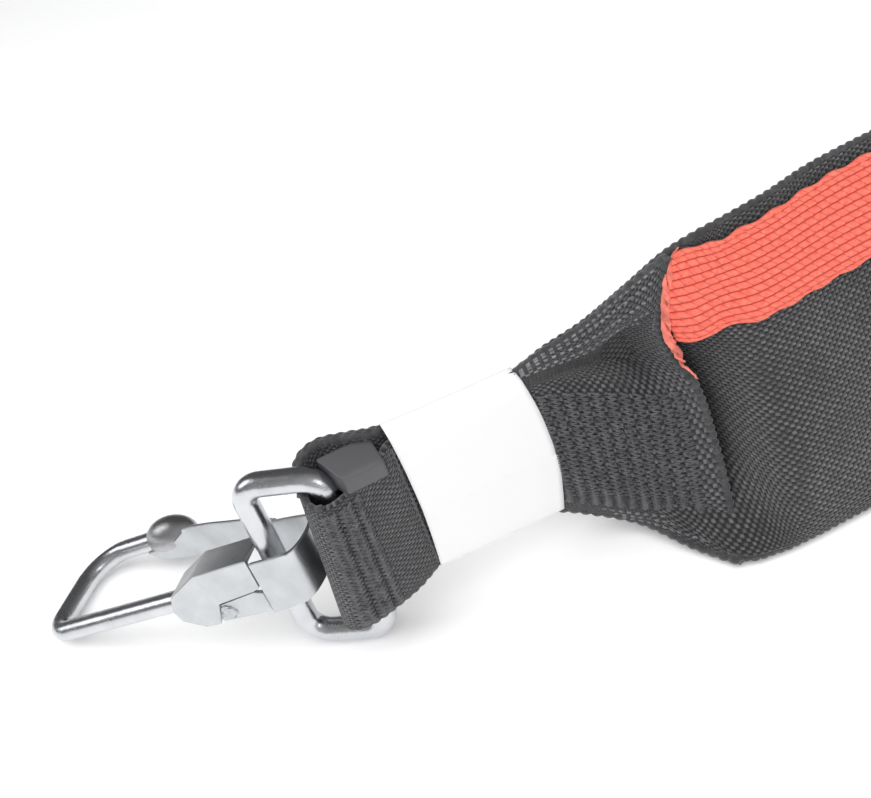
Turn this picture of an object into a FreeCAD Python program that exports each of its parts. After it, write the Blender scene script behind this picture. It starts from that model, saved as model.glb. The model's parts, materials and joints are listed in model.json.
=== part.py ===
"""Shoulder-harness end: a snap hook on a wire bail, a sewn webbing loop and the closed shoulder belt.

Millimetres. The harness stands on the lower edge of its belt: +Z is up, +X runs from the hook along
the belt, and the origin lies under the front run of the belt, on the surface it stands on.
The hook pieces are drawn flat, with the eye's axis at their own origin and the hook pointing to -X,
and one placement lays them in the bail.
"""
import FreeCAD
import Part
import Sketcher
import math
import os

V = FreeCAD.Vector
X_AXIS, Y_AXIS, Z_AXIS = V(1, 0, 0), V(0, 1, 0), V(0, 0, 1)

SIZES = [
    # webbing and belt
    ("web_width", 40.0, "narrow webbing, across"),
    ("web_thick", 2.0, "narrow webbing, one ply"),
    ("belt_width", 80.0, "shoulder belt, across"),
    ("belt_thick", 3.0, "shoulder belt with its backing"),
    ("belt_start", -57.0, "where the belt leaves the front neck"),
    ("belt_end", 250.0, "where the belt starts to turn"),
    ("rear_belt_end", 196.0, "where the belt ends on the rear run"),
    ("rear_neck_length", 34.0, "gathered end of the belt, rear"),
    ("stripe_width", 20.0, "coloured stripe, across"),
    ("stripe_thick", 1.2, "coloured stripe"),
    ("stripe_margin", 3.5, "belt left above the stripe"),
    ("stitch_proud", 0.5, "sewing thread above the cloth"),
    ("stitch_wide", 1.2, "width of a row of stitches"),
    ("stitch_gap", 0.06, "between a row of stitches and the cloth's face"),
    ("stitch_margin", 2.0, "from a row's end to the edge of the webbing"),
    ("neck_rows", 4, "rows of stitches in each neck"),
    ("neck_row_pitch", 3.0, "between rows in the necks"),
    ("neck_row_start", 1.4, "first row from the end of the neck"),
    ("stripe_row_wide", 1.0, "sewn row beside each edge of the stripe, and its distance from the edge"),
    ("stripe_row_end", 2.0, "end of the stripe left unsewn"),
    ("stripe_start", 5.0, "stripe from the start of the belt"),
    # front neck, label and loop
    ("strap_plane", 30.0, "middle of the narrow webbing, in Y"),
    ("strap_foot", 12.0, "lower edge of the narrow webbing at the label"),
    ("neck_start", -90.8, "where the belt's gathered end starts"),
    ("neck_flat", 12.8, "neck as narrow as the strap"),
    ("strap_lap", 8.0, "strap's plies sewn beyond the neck's narrow part"),
    ("web_lap", 1.8, "adjusting webbing from the start of the neck"),
    ("label_length", 32.0, "paper band along the strap"),
    ("label_thick", 0.4, "paper band"),
    ("label_slack", 0.05, "between the paper band and the strap"),
    ("label_gap", 0.1, "between the paper band and the neck"),
    ("loop_bar_x", -139.5, "axis of the bail's bar in the loop, in X"),
    ("loop_slack", 0.65, "between the bail's wire and the webbing"),
    ("loop_open_length", 13.0, "where the two plies of the loop still stand apart"),
    ("loop_close_length", 3.4, "where the plies come together"),
    ("loop_taper", 0.3, "how far the plies draw in over the open length"),
    ("loop_rows", 5, "rows of stitches on the loop"),
    ("loop_row_start", 2.1, "first row from the bar"),
    ("loop_row_pitch", 2.6, "between rows on the loop"),
    ("loop_row_height", 34.0, "length of a row on the loop"),
    ("loop_row_foot", 3.0, "rows above the webbing's lower edge"),
    ("liner_gap", 0.5, "between the bail's bar and the liner"),
    ("liner_end_gap", 0.3, "between the liner and where the plies close"),
    ("liner_length", "=loop_open_length - bail_wire / 2 - liner_gap - liner_end_gap",
     "plastic liner along the strap"),
    ("liner_height", 25.0, "plastic liner, up the loop"),
    ("liner_proud", 4.8, "plastic liner above the front ply"),
    ("cloth_gap", 0.3, "between a soft piece and what it lies beside"),
    # bail
    ("bail_wire", 6.0, "wire of the bail"),
    ("bail_reach", 20.5, "between the bail's two upright bars"),
    ("bail_slack", 4.0, "between the strap's edges and the middles of the bail's level bars"),
    ("bail_height", "=web_width + 2 * bail_slack", "between the bail's two level bars"),
    ("bail_bend", 5.5, "bend radius of the wire's middle"),
    ("bail_angle", 33.0, "how far the bail stands turned from the strap, degrees"),
    # hook
    ("rod_wire", 5.5, "wire of the hook"),
    ("hook_reach", 81.0, "eye axis to the outer bar"),
    ("hook_across", 28.7, "between the hook's two long bars"),
    ("rod_side", -0.7, "long bar beside the eye axis"),
    ("rod_start", 13.0, "end of the rod inside the body"),
    ("near_bend", 5.5, "tight bend of the rod"),
    ("far_bend", 11.0, "wide bend of the rod"),
    ("nose_face", 51.0, "front face of the rod's head"),
    ("nose_length", 9.0, "domed head of the rod"),
    ("nose_radius", 4.3, "domed head of the rod"),
    ("nose_rise", 0.9, "head above the rod's middle, outwards"),
    ("hook_heading", 37.0, "hook turned from the strap's line, degrees"),
    ("eye_height", 24.0, "middle of the eye above the surface"),
    ("sheet_thick", 1.2, "sheet of the body and the eye band"),
    ("band_height", 15.0, "eye band, up the bail"),
    ("eye_slack", 1.6, "between the bail's wire and the eye band"),
    ("eye_inside", "=bail_wire / 2 + eye_slack", "inner radius of the eye band"),
    ("eye_back", 1.5, "centre of the eye's round end behind the bar"),
    ("band_tail", 28.0, "front tail of the band, under the body"),
    ("band_return", 9.0, "rear tail of the band"),
    ("body_height", 14.0, "stamped body, up"),
    ("body_length", 22.0, "stamped body, along the rod"),
    ("body_right", 12.0, "open end of the body"),
    ("body_depth", 9.2, "stamped body, across"),
    ("ear_reach", 18.0, "ears that hold the gate's pin, across"),
    ("ear_length", 8.0, "ears that hold the gate's pin, along"),
    ("fit_clearance", 0.05, "radial clearance of pins and holes"),
    ("rivet_radius", 1.3, "rivet through the body and the rod"),
    ("rivet_head", 2.4, "rivet heads"),
    ("rivet_head_thick", 0.8, "rivet heads"),
    ("rivet_place", 23.0, "rivet from the eye axis"),
    # gate
    ("pin_radius", 1.5, "gate pin"),
    ("pin_head", 2.5, "gate pin heads"),
    ("pin_head_thick", 0.9, "gate pin heads"),
    ("pin_place", 16.0, "gate pin from the eye axis, along"),
    ("pin_side", 8.5, "gate pin from the eye axis, across"),
    ("pin_from_plate", 3.0, "gate pin from the gate's plate"),
    ("gate_sheet", 1.0, "sheet of the gate"),
    ("gate_height", 9.0, "gate, up"),
    ("gate_depth", 7.0, "gate flanges"),
    ("gate_knee", 48.0, "where the gate turns to lie along the head"),
    ("gate_heel", 3.2, "gate behind its pin"),
    ("gate_tip", 61.0, "tip of the gate from the eye axis"),
    ("gate_rest_gap", 0.25, "between the gate and the head of the rod"),
    ("spring_wire", 0.9, "gate spring"),
    ("spring_coil", 4.6, "gate spring coil, up the pin"),
    ("spring_gap", 0.25, "gate spring coil round the pin"),
    # slide adjuster, keeper and tail
    ("adjuster_place", -14.0, "middle of the adjuster, in X"),
    ("adjuster_length", 30.0, "adjuster along the strap"),
    ("adjuster_bar_wide", 5.0, "adjuster cross bars"),
    ("adjuster_bar_deep", 3.0, "adjuster cross bars"),
    ("adjuster_rail", 4.0, "adjuster rails above and below the webbing"),
    ("adjuster_slack", 0.8, "between the adjuster and the webbing"),
    ("tail_start", 34.0, "where the webbing's tail starts"),
    ("tail_length", 84.0, "webbing's tail"),
    ("tail_hem", 12.0, "folded end of the tail"),
    ("keeper_place", 78.0, "middle of the tail keeper, in X"),
    ("keeper_length", 14.0, "tail keeper along the strap"),
    ("keeper_wall", 1.6, "tail keeper wall"),
]

doc = FreeCAD.newDocument("harness")
sheet = doc.addObject("Spreadsheet::Sheet", "sizes")
for row, (alias, value, note) in enumerate(SIZES, start=1):
    sheet.set("A%d" % row, alias)
    sheet.set("C%d" % row, note)
    sheet.setAlias("B%d" % row, alias)
for row, (alias, value, note) in enumerate(SIZES, start=1):
    sheet.set("B%d" % row, str(value))
doc.recompute()


def size(alias):
    return float(getattr(sheet, alias))


nodes = []


def keep(obj, label, placement=None):
    """Name a finished sub-part, and give it its place."""
    obj.Label = label
    if placement is not None:
        obj.Placement = placement
    nodes.append(obj)
    return obj


def feature(label, shape, placement=None):
    """A sub-part whose shape is made with Part's functions."""
    obj = doc.addObject("Part::Feature", label)
    obj.Shape = shape.removeSplitter()
    return keep(obj, label, placement)


def bound(kind, name, **expressions):
    """A Part primitive with its sizes bound to the sheet."""
    obj = doc.addObject(kind, name)
    for prop, expression in expressions.items():
        obj.setExpression(prop.replace("__", "."), expression)
    return obj


def plane_of(body, role):
    for part in body.Origin.OriginFeatures:
        if part.Role == role:
            return part
    raise ValueError("no plane " + role)


def sketch_on(body, name, role):
    sketch = body.newObject("Sketcher::SketchObject", name)
    sketch.AttachmentSupport = (plane_of(body, role), [""])
    sketch.MapMode = "FlatFace"
    return sketch


def polygon(sketch, corners):
    """A closed outline whose corners are bound to the sheet. Each corner is two expressions, both positive."""
    rough = [V(evaluate(a), evaluate(b), 0) for a, b in corners]
    first = sketch.GeometryCount
    count = len(rough)
    for i in range(count):
        sketch.addGeometry(Part.LineSegment(rough[i], rough[(i + 1) % count]), False)
    for i in range(count):
        sketch.addConstraint(Sketcher.Constraint("Coincident", first + i, 2, first + (i + 1) % count, 1))
    for i, (along, up) in enumerate(corners):
        for axis, expression in (("DistanceX", along), ("DistanceY", up)):
            at = rough[i].x if axis == "DistanceX" else rough[i].y
            number = sketch.addConstraint(Sketcher.Constraint(axis, -1, 1, first + i, 1, at))
            sketch.setExpression("Constraints[%d]" % number, expression)


def evaluate(expression):
    """The value of an expression over the sheet's aliases."""
    return float(sheet.evalExpression(expression))


def pad(body, sketch, name, length, midplane=False):
    grown = body.newObject("PartDesign::Pad", name)
    grown.Profile = sketch
    grown.setExpression("Length", length)
    grown.Midplane = midplane
    sketch.Visibility = False
    return grown


def pocket(body, sketch, name, length=None, reversed_cut=False, midplane=False):
    before = body.Shape.Volume
    cut = body.newObject("PartDesign::Pocket", name)
    cut.Profile = sketch
    if length is None:
        cut.Type = "ThroughAll"
    else:
        cut.setExpression("Length", length)
    cut.Midplane = midplane
    cut.Reversed = reversed_cut
    doc.recompute()
    if body.Shape.Volume > before - 0.01:
        raise ValueError(name + " removed nothing")
    return cut


def rounding(body, name, radius, wanted):
    """Round the edges of a body that the test picks."""
    base = body.Tip
    picked = ["Edge%d" % (i + 1) for i, edge in enumerate(base.Shape.Edges) if wanted(edge)]
    fillet = body.newObject("PartDesign::Fillet", name)
    fillet.Base = (base, picked)
    fillet.setExpression("Radius", radius)
    doc.recompute()
    return fillet


def block(x0, x1, y0, y1, z0, z1):
    return Part.makeBox(x1 - x0, y1 - y0, z1 - z0, V(x0, y0, z0))


def upright_rectangle(x, y0, y1, z0, z1):
    return Part.makePolygon([V(x, y0, z0), V(x, y1, z0), V(x, y1, z1), V(x, y0, z1), V(x, y0, z0)])


def loft(*sections):
    """A straight-sided solid through upright rectangles, each given as (x, y0, y1, z0, z1)."""
    return Part.makeLoft([upright_rectangle(*section) for section in sections], True, True)


# ---------------------------------------------------------------- places worked out from the sizes
plane = size("strap_plane")
ply = size("web_thick")
foot = size("strap_foot")
strap_top = foot + size("web_width")
bail_radius = size("bail_wire") / 2
bail_low = bail_radius
bail_top = bail_radius + size("bail_height")
loop_foot = bail_radius + (size("bail_height") - size("web_width")) / 2
loop_top = loop_foot + size("web_width")
loop_bar = V(size("loop_bar_x"), plane, 0)
loop_inner = bail_radius + size("loop_slack")
turn = math.radians(size("bail_angle"))
eye = V(loop_bar.x - size("bail_reach") * math.cos(turn),
        loop_bar.y + size("bail_reach") * math.sin(turn), size("eye_height"))
hook_tilt = math.degrees(math.asin((size("eye_height") - size("rod_wire") / 2) / size("hook_reach")))
hook_place = FreeCAD.Placement(eye, FreeCAD.Rotation(Z_AXIS, -size("hook_heading"))
                               * FreeCAD.Rotation(Y_AXIS, -hook_tilt))
rod_radius = size("rod_wire") / 2
rod_side = size("rod_side")
arm_side = rod_side + size("hook_across")
tail_inner = rod_side - rod_radius - size("fit_clearance")
tail_outer = tail_inner - size("sheet_thick")
body_front = tail_outer - size("sheet_thick")
eye_middle = tail_inner + size("eye_inside")
plate_outer = arm_side + size("nose_rise") - size("nose_radius") - size("gate_rest_gap")
label_end = size("neck_start") - size("label_gap")
label_start = label_end - size("label_length")
rear_web = plane + ply
rear_face = plane + 2 * ply
rear_middle = plane + 1.5 * ply
belt_half = size("belt_thick") / 2
stripe_foot = size("belt_width") - size("stripe_margin") - size("stripe_width")
rear_neck_start = size("rear_belt_end") - size("rear_neck_length")


# ---------------------------------------------------------------- bail
def make_bail():
    """Closed rectangle of wire, its upright bar in the loop on the loop's axis."""
    reach = size("bail_reach")
    bend = size("bail_bend")
    corners = [V(0, 0, bail_low), V(-reach, 0, bail_low), V(-reach, 0, bail_top), V(0, 0, bail_top)]
    edges = []
    for i in range(4):
        here, ahead, behind = corners[i], corners[(i + 1) % 4], corners[i - 1]
        to_next = (ahead - here).normalize()
        to_last = (behind - here).normalize()
        centre = here + to_next * bend + to_last * bend
        shoulder = centre - (to_next + to_last).normalize() * bend
        edges.append(Part.Arc(here + to_last * bend, shoulder, here + to_next * bend).toShape())
        edges.append(Part.LineSegment(here + to_next * bend, ahead - to_next * bend).toShape())
    path = Part.Wire(Part.__sortEdges__(edges))
    first = path.OrderedEdges[0]
    start = path.OrderedVertexes[0].Point
    ring = Part.Wire(Part.makeCircle(bail_radius, start, first.tangentAt(first.FirstParameter)))
    wire = path.makePipeShell([ring], True, False)
    feature("bail", wire, FreeCAD.Placement(loop_bar, FreeCAD.Rotation(Z_AXIS, -size("bail_angle"))))


# ---------------------------------------------------------------- hook
def make_hook_rod():
    """Bent round rod: long bar, outer bar, far arm and its domed head."""
    reach = size("hook_reach")
    near, far = size("near_bend"), size("far_bend")
    head_middle = size("nose_face") + size("nose_length") / 2
    near_mid = V(-reach + near, rod_side + near, 0) + V(-1, -1, 0).normalize() * near
    far_mid = V(-reach + far, arm_side - far, 0) + V(-1, 1, 0).normalize() * far
    edges = [
        Part.LineSegment(V(-size("rod_start"), rod_side, 0), V(-reach + near, rod_side, 0)).toShape(),
        Part.Arc(V(-reach + near, rod_side, 0), near_mid, V(-reach, rod_side + near, 0)).toShape(),
        Part.LineSegment(V(-reach, rod_side + near, 0), V(-reach, arm_side - far, 0)).toShape(),
        Part.Arc(V(-reach, arm_side - far, 0), far_mid, V(-reach + far, arm_side, 0)).toShape(),
        Part.LineSegment(V(-reach + far, arm_side, 0), V(-head_middle, arm_side, 0)).toShape(),
    ]
    path = Part.Wire(edges)
    ring = Part.Wire(Part.makeCircle(rod_radius, V(-size("rod_start"), rod_side, 0), X_AXIS))
    rod = path.makePipeShell([ring], True, False)
    stretch = FreeCAD.Matrix()
    stretch.scale(size("nose_length") / size("nose_radius") / 1.6, 1, 1)
    head = Part.makeSphere(size("nose_radius")).transformGeometry(stretch)
    head.translate(V(-head_middle, arm_side + size("nose_rise"), 0))
    behind_face = block(-reach, -size("nose_face"), arm_side - 20, arm_side + 20, -20, 20)
    rod = rod.fuse(head.common(behind_face)).cut(rivet_hole())
    feature("hook_rod", rod, hook_place)


def rivet_hole():
    """The hole for the body's rivet, straight through."""
    radius = size("rivet_radius") + size("fit_clearance")
    return Part.makeCylinder(radius, 30, V(-size("rivet_place"), rod_side - 15, 0), Y_AXIS)


def make_eye_band():
    """Strip bent round the bail's bar, one tail under the body, the other beside the gate."""
    back = size("eye_back")
    inner = size("eye_inside")
    outer = inner + size("sheet_thick")
    near_tail, far_tail = -size("band_tail"), -size("band_return")
    outer_ends = V(back, eye_middle - outer, 0), V(back, eye_middle + outer, 0)
    inner_ends = V(back, eye_middle + inner, 0), V(back, eye_middle - inner, 0)
    edges = [
        Part.LineSegment(V(near_tail, eye_middle - outer, 0), outer_ends[0]).toShape(),
        Part.Arc(outer_ends[0], V(back + outer, eye_middle, 0), outer_ends[1]).toShape(),
        Part.LineSegment(outer_ends[1], V(far_tail, eye_middle + outer, 0)).toShape(),
        Part.LineSegment(V(far_tail, eye_middle + outer, 0), V(far_tail, eye_middle + inner, 0)).toShape(),
        Part.LineSegment(V(far_tail, eye_middle + inner, 0), inner_ends[0]).toShape(),
        Part.Arc(inner_ends[0], V(back + inner, eye_middle, 0), inner_ends[1]).toShape(),
        Part.LineSegment(inner_ends[1], V(near_tail, eye_middle - inner, 0)).toShape(),
        Part.LineSegment(V(near_tail, eye_middle - inner, 0), V(near_tail, eye_middle - outer, 0)).toShape(),
    ]
    half = size("band_height") / 2
    strip = Part.Face(Part.Wire(edges)).extrude(V(0, 0, 2 * half))
    strip.translate(V(0, 0, -half))
    tail_half = size("body_height") / 2 - size("sheet_thick") - 0.1
    for low, high in ((-2 * half, -tail_half), (tail_half, 2 * half)):
        strip = strip.cut(block(near_tail - 1, -size("body_right") + 0.1, -50, 0, low, high))
    feature("eye_band", strip.cut(rivet_hole()), hook_place)


def make_hook_body():
    """Stamped tray over the rod, open away from its front, with two ears for the gate's pin."""
    tray = doc.addObject("PartDesign::Body", "body_tray")
    half = "sizes.body_height / 2"
    wall = "sizes.sheet_thick"
    left = "sizes.body_right + sizes.body_length"
    outline = sketch_on(tray, "body_outline", "XY_Plane")
    polygon(outline, [
        ("sizes.body_right", "20 - " + half),
        (left + " - 3", "20 - " + half),
        (left, "20 - " + half + " + 3.5"),
        (left, "20.5"),
        (left + " - 6", "20 + " + half),
        ("sizes.body_right", "20 + " + half),
    ])
    pad(tray, outline, "body_block", "sizes.body_depth")
    doc.recompute()
    hollow = sketch_on(tray, "body_hollow", "XY_Plane")
    hollow.setExpression("AttachmentOffset.Base.z", wall)
    polygon(hollow, [
        ("sizes.body_right - 1", "20 - " + half + " + " + wall),
        (left + " - 3 - 0.5 * " + wall, "20 - " + half + " + " + wall),
        (left + " - " + wall, "23.5 - " + half + " + 0.4 * " + wall),
        (left + " - " + wall, "20.5 - 0.4 * " + wall),
        (left + " - 6 - 0.4 * " + wall, "20 + " + half + " - " + wall),
        ("sizes.body_right - 1", "20 + " + half + " - " + wall),
    ])
    pocket(tray, hollow, "body_inside", "sizes.body_depth", reversed_cut=True)
    rounding(tray, "body_rounding", "0.5 * " + wall, lambda edge: edge.BoundBox.ZMax < 0.01
             and edge.BoundBox.XMax > size("body_right") + 0.1)
    ears = []
    for name, low in (("ear_low", "20 - " + half), ("ear_high", "20 + " + half + " - " + wall)):
        ears.append(bound("Part::Box", name, Length="sizes.ear_length", Width=wall, Height="sizes.ear_reach",
                          Placement__Base__x="sizes.body_right", Placement__Base__y=low))
    whole = doc.addObject("Part::MultiFuse", "body_with_ears")
    whole.Shapes = [tray] + ears
    deep = rod_side - body_front
    bores = [
        ("rod_passage", size("rod_wire") / 2, V(size("body_right"), 20, deep), X_AXIS, 60),
        ("rivet_passage", size("rivet_radius"), V(size("rivet_place"), 20, -10), Z_AXIS, 40),
        ("pin_passage", size("pin_radius"), V(size("pin_place"), 0, size("pin_side") - body_front), Y_AXIS, 60),
    ]
    tools = []
    for name, radius, start, direction, length in bores:
        tool = doc.addObject("Part::Cylinder", name)
        tool.Radius = radius + size("fit_clearance")
        tool.Height = length
        tool.Placement = FreeCAD.Placement(start, FreeCAD.Rotation(Z_AXIS, direction))
        tools.append(tool)
    drill = doc.addObject("Part::MultiFuse", "body_bores")
    drill.Shapes = tools
    body = doc.addObject("Part::Cut", "hook_body")
    body.Base = whole
    body.Tool = drill
    upright = FreeCAD.Placement(V(0, body_front, -20), FreeCAD.Rotation(V(-1, 0, 0), Z_AXIS, Y_AXIS, "XYZ"))
    keep(body, "hook_body", hook_place.multiply(upright))


def make_body_rivet():
    """Round rivet through the body, the band's tail and the rod."""
    place = size("rivet_place")
    far_side = rod_side + rod_radius
    shank = Part.makeCylinder(size("rivet_radius"), far_side - body_front + 0.2, V(-place, body_front - 0.1, 0), Y_AXIS)
    head_thick = size("rivet_head_thick")
    front_head = Part.makeCylinder(size("rivet_head"), head_thick, V(-place, body_front - head_thick, 0), Y_AXIS)
    rear_head = Part.makeCylinder(size("rivet_head"), head_thick, V(-place, far_side, 0), Y_AXIS)
    front_head = front_head.makeFillet(0.6 * head_thick, [e for e in front_head.Edges
                                                          if abs(e.BoundBox.YMax - body_front + head_thick) < 0.01])
    feature("body_rivet", shank.multiFuse([front_head, rear_head]), hook_place)


def gate_line():
    """Direction of the gate's straight flank, and its outward normal, in the hook's plane (u along the hook)."""
    along = size("gate_knee") - size("pin_place")
    out = plate_outer - size("pin_side")
    reach = math.hypot(along, out)
    angle = math.atan2(out, along) + math.asin(size("pin_from_plate") / reach)
    return (math.cos(angle), math.sin(angle)), (-math.sin(angle), math.cos(angle)), reach * math.cos(
        angle - math.atan2(out, along))


def make_gate():
    """Sheet channel from the pin to the head, with a plain tongue that seats inside the head."""
    (du, dv), (nu, nv), flank = gate_line()
    knee = size("gate_knee")
    sheet_gate = size("gate_sheet")
    heel = flank + size("gate_heel")

    def at(back, out):
        return V(-(knee - back * du + out * nu), plate_outer - back * dv + out * nv, 0)

    def prism(points, height):
        face = Part.Face(Part.makePolygon(points + [points[0]]))
        return face.extrude(V(0, 0, height)).translated(V(0, 0, -height / 2))

    tip = size("gate_tip")
    half = size("gate_height") / 2
    inner_knee = V(-(knee + 0.3 * sheet_gate), plate_outer - sheet_gate, 0)
    deep = size("gate_depth") - sheet_gate
    outline = [at(heel, -sheet_gate), inner_knee, V(-tip, plate_outer - sheet_gate, 0), V(-tip, plate_outer, 0),
               V(-knee, plate_outer, 0), at(1.5, 0), at(4.5, deep), at(heel, deep)]
    gate = prism(outline, 2 * half)
    hollow = [at(-1, 0), at(heel + 1, 0), at(heel + 1, deep + 1), at(-1, deep + 1)]
    gate = gate.cut(prism(hollow, 2 * (half - sheet_gate)))
    rounding = Part.makeCylinder(half, 20, V(-(tip - half), plate_outer - 10, 0), Y_AXIS)
    tip_zone = block(-tip - 1, -(tip - half), plate_outer - 10, plate_outer + 10, -half, half)
    gate = gate.cut(tip_zone.cut(rounding))
    bore = Part.makeCylinder(size("pin_radius") + size("fit_clearance"), 40,
                             V(-size("pin_place"), size("pin_side"), -20), Z_AXIS)
    feature("gate", gate.cut(bore), hook_place)


def make_gate_pin():
    """Headed pin through the body's ears and the gate."""
    half = size("body_height") / 2
    at = V(-size("pin_place"), size("pin_side"), 0)
    shank = Part.makeCylinder(size("pin_radius"), 2 * half + 0.2, at - Z_AXIS * (half + 0.1), Z_AXIS)
    heads = [Part.makeCylinder(size("pin_head"), size("pin_head_thick"), at + Z_AXIS * low, Z_AXIS)
             for low in (half, -half - size("pin_head_thick"))]
    feature("gate_pin", shank.multiFuse(heads), hook_place)


def make_gate_spring():
    """Coil round the gate's pin, with one leg on the gate's plate and one on the rod."""
    wire = size("spring_wire")
    mean = size("pin_radius") + size("spring_gap") + wire / 2
    coil_height = size("spring_coil") - wire
    helix = Part.makeHelix(1.15 * wire, coil_height, mean)
    ring = Part.Wire(Part.makeCircle(wire / 2, V(mean, 0, 0), Y_AXIS))
    coil = Part.Wire(helix.Edges).makePipeShell([ring], True, True)
    coil.translate(V(-size("pin_place"), size("pin_side"), -coil_height / 2))
    feature("gate_spring", coil, hook_place)


# ---------------------------------------------------------------- webbing loop, label and front neck
def make_hook_webbing():
    """Webbing folded round the bail's bar; its two plies meet under the paper band."""
    outer = loop_inner + ply
    fold = Part.makeCylinder(outer, size("web_width"), loop_bar + Z_AXIS * loop_foot)
    fold = fold.cut(Part.makeCylinder(loop_inner, size("web_width"), loop_bar + Z_AXIS * loop_foot))
    fold = fold.cut(block(loop_bar.x, loop_bar.x + outer + 1, plane - outer - 1, plane + outer + 1, 0, 100))
    opened = size("loop_open_length")
    closed = opened + size("loop_close_length")
    rise = (foot - loop_foot) / closed
    inner_end = loop_inner - size("loop_taper")
    end = size("neck_start") + size("neck_flat") + size("strap_lap")
    plies = []
    for side in (-1, 1):
        stations = []
        for along, inner, low in ((0, loop_inner, loop_foot), (opened, inner_end, loop_foot + rise * opened),
                                  (closed, 0, foot), (end - loop_bar.x, 0, foot)):
            faces = sorted((plane + side * inner, plane + side * (inner + ply)))
            stations.append((loop_bar.x + along, faces[0], faces[1], low, low + size("web_width")))
        plies.append(loft(*stations))
    feature("hook_webbing", fold.multiFuse(plies))


def make_loop_liner():
    """Hard glossy spacer that holds the loop's plies apart above the bar."""
    liner = doc.addObject("PartDesign::Body", "loop_liner")
    outline = sketch_on(liner, "liner_outline", "XY_Plane")
    deep = "2 * (sizes.bail_wire / 2 + sizes.loop_slack - 2 * sizes.cloth_gap)"
    polygon(outline, [("0", "0"), ("sizes.liner_length", "0"), ("sizes.liner_length", deep), ("0", deep)])
    pad(liner, outline, "liner_block", "sizes.liner_height")
    doc.recompute()
    rounding(liner, "liner_rounding", "0.7", lambda edge: edge.BoundBox.ZMin > size("liner_height") - 0.01)
    top = loop_top + size("liner_proud")
    half = size("bail_wire") / 2 + size("loop_slack") - 2 * size("cloth_gap")
    start = V(loop_bar.x + bail_radius + size("liner_gap"), plane - half, top - size("liner_height"))
    keep(liner, "loop_liner", FreeCAD.Placement(start, FreeCAD.Rotation()))


def row_of_stitches(x, y_face, side, low, high):
    """One raised row of thread on an upright face; side is -1 for a face towards -Y."""
    near = y_face + side * size("stitch_gap")
    faces = sorted((near, near + side * size("stitch_proud")))
    half = size("stitch_wide") / 2
    return block(x - half, x + half, faces[0], faces[1], low, high)


def make_loop_stitching():
    rows = []
    opened = size("loop_open_length")
    rise = (foot - loop_foot) / (opened + size("loop_close_length"))
    for i in range(int(size("loop_rows"))):
        along = size("loop_row_start") + i * size("loop_row_pitch")
        low = loop_foot + rise * along + size("loop_row_foot")
        highest = along - size("stitch_wide") / 2
        offset = loop_inner + ply - size("loop_taper") * highest / opened
        for side in (-1, 1):
            rows.append(row_of_stitches(loop_bar.x + along, plane + side * offset, side,
                                        low, low + size("loop_row_height")))
    feature("loop_stitching", Part.makeCompound(rows))


def make_label_band():
    """Plain paper band wrapped round the strap."""
    slack = size("label_slack")
    outer = size("label_thick") + slack
    tube = block(label_start, label_end, plane - ply - outer, plane + ply + outer, foot - outer, strap_top + outer)
    tube = tube.cut(block(label_start, label_end, plane - ply - slack, plane + ply + slack,
                          foot - slack, strap_top + slack))
    feature("label_band", tube)


def neck_row_places():
    """Where a neck's rows of stitches lie, from its narrow end."""
    return [size("neck_row_start") + i * size("neck_row_pitch") for i in range(int(size("neck_rows")))]


def make_front_neck():
    """Gathered end of the belt, sewn on the front of the strap and opening to the belt."""
    start = size("neck_start")
    thick = size("belt_thick")
    face = plane - ply
    flat_end = start + size("neck_flat")
    sections = [(start, face - thick, face, foot, strap_top),
                (flat_end, face - thick, face, foot, strap_top),
                (size("belt_start"), -belt_half, belt_half, 0, size("belt_width"))]
    feature("front_neck", loft(*sections[:2]).fuse(loft(*sections[1:])))
    margin = size("stitch_margin")
    rows = [row_of_stitches(start + along, face - thick, -1, foot + margin, strap_top - margin)
            for along in neck_row_places()]
    feature("neck_stitching", Part.makeCompound(rows))


# ---------------------------------------------------------------- belt and stripe
def make_belt():
    """Closed belt: front run, round end and rear run."""
    keep(bound("Part::Box", "belt_front_run", Length="sizes.belt_end - sizes.belt_start", Width="sizes.belt_thick",
               Height="sizes.belt_width", Placement__Base__x="sizes.belt_start",
               Placement__Base__y="-sizes.belt_thick / 2"), "belt_front_run")
    keep(bound("Part::Box", "belt_rear_run", Length="sizes.belt_end - sizes.rear_belt_end",
               Width="sizes.belt_thick", Height="sizes.belt_width", Placement__Base__x="sizes.rear_belt_end",
               Placement__Base__y="sizes.strap_plane + 1.5 * sizes.web_thick - sizes.belt_thick / 2"),
         "belt_rear_run")
    feature("belt_bend", half_ring(0, size("belt_thick"), 0, size("belt_width")))


def half_ring(proud, thick, low, height):
    """Half ring round the far end of the belt; proud is measured outwards from the belt's outer face."""
    outer = rear_middle / 2 + belt_half + proud
    centre = V(size("belt_end"), rear_middle / 2, low)
    ring = Part.makeCylinder(outer, height, centre).cut(Part.makeCylinder(outer - thick, height, centre))
    return ring.cut(block(centre.x - outer - 1, centre.x, -outer, 2 * outer + rear_middle, low - 1, low + height + 1))


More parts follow.
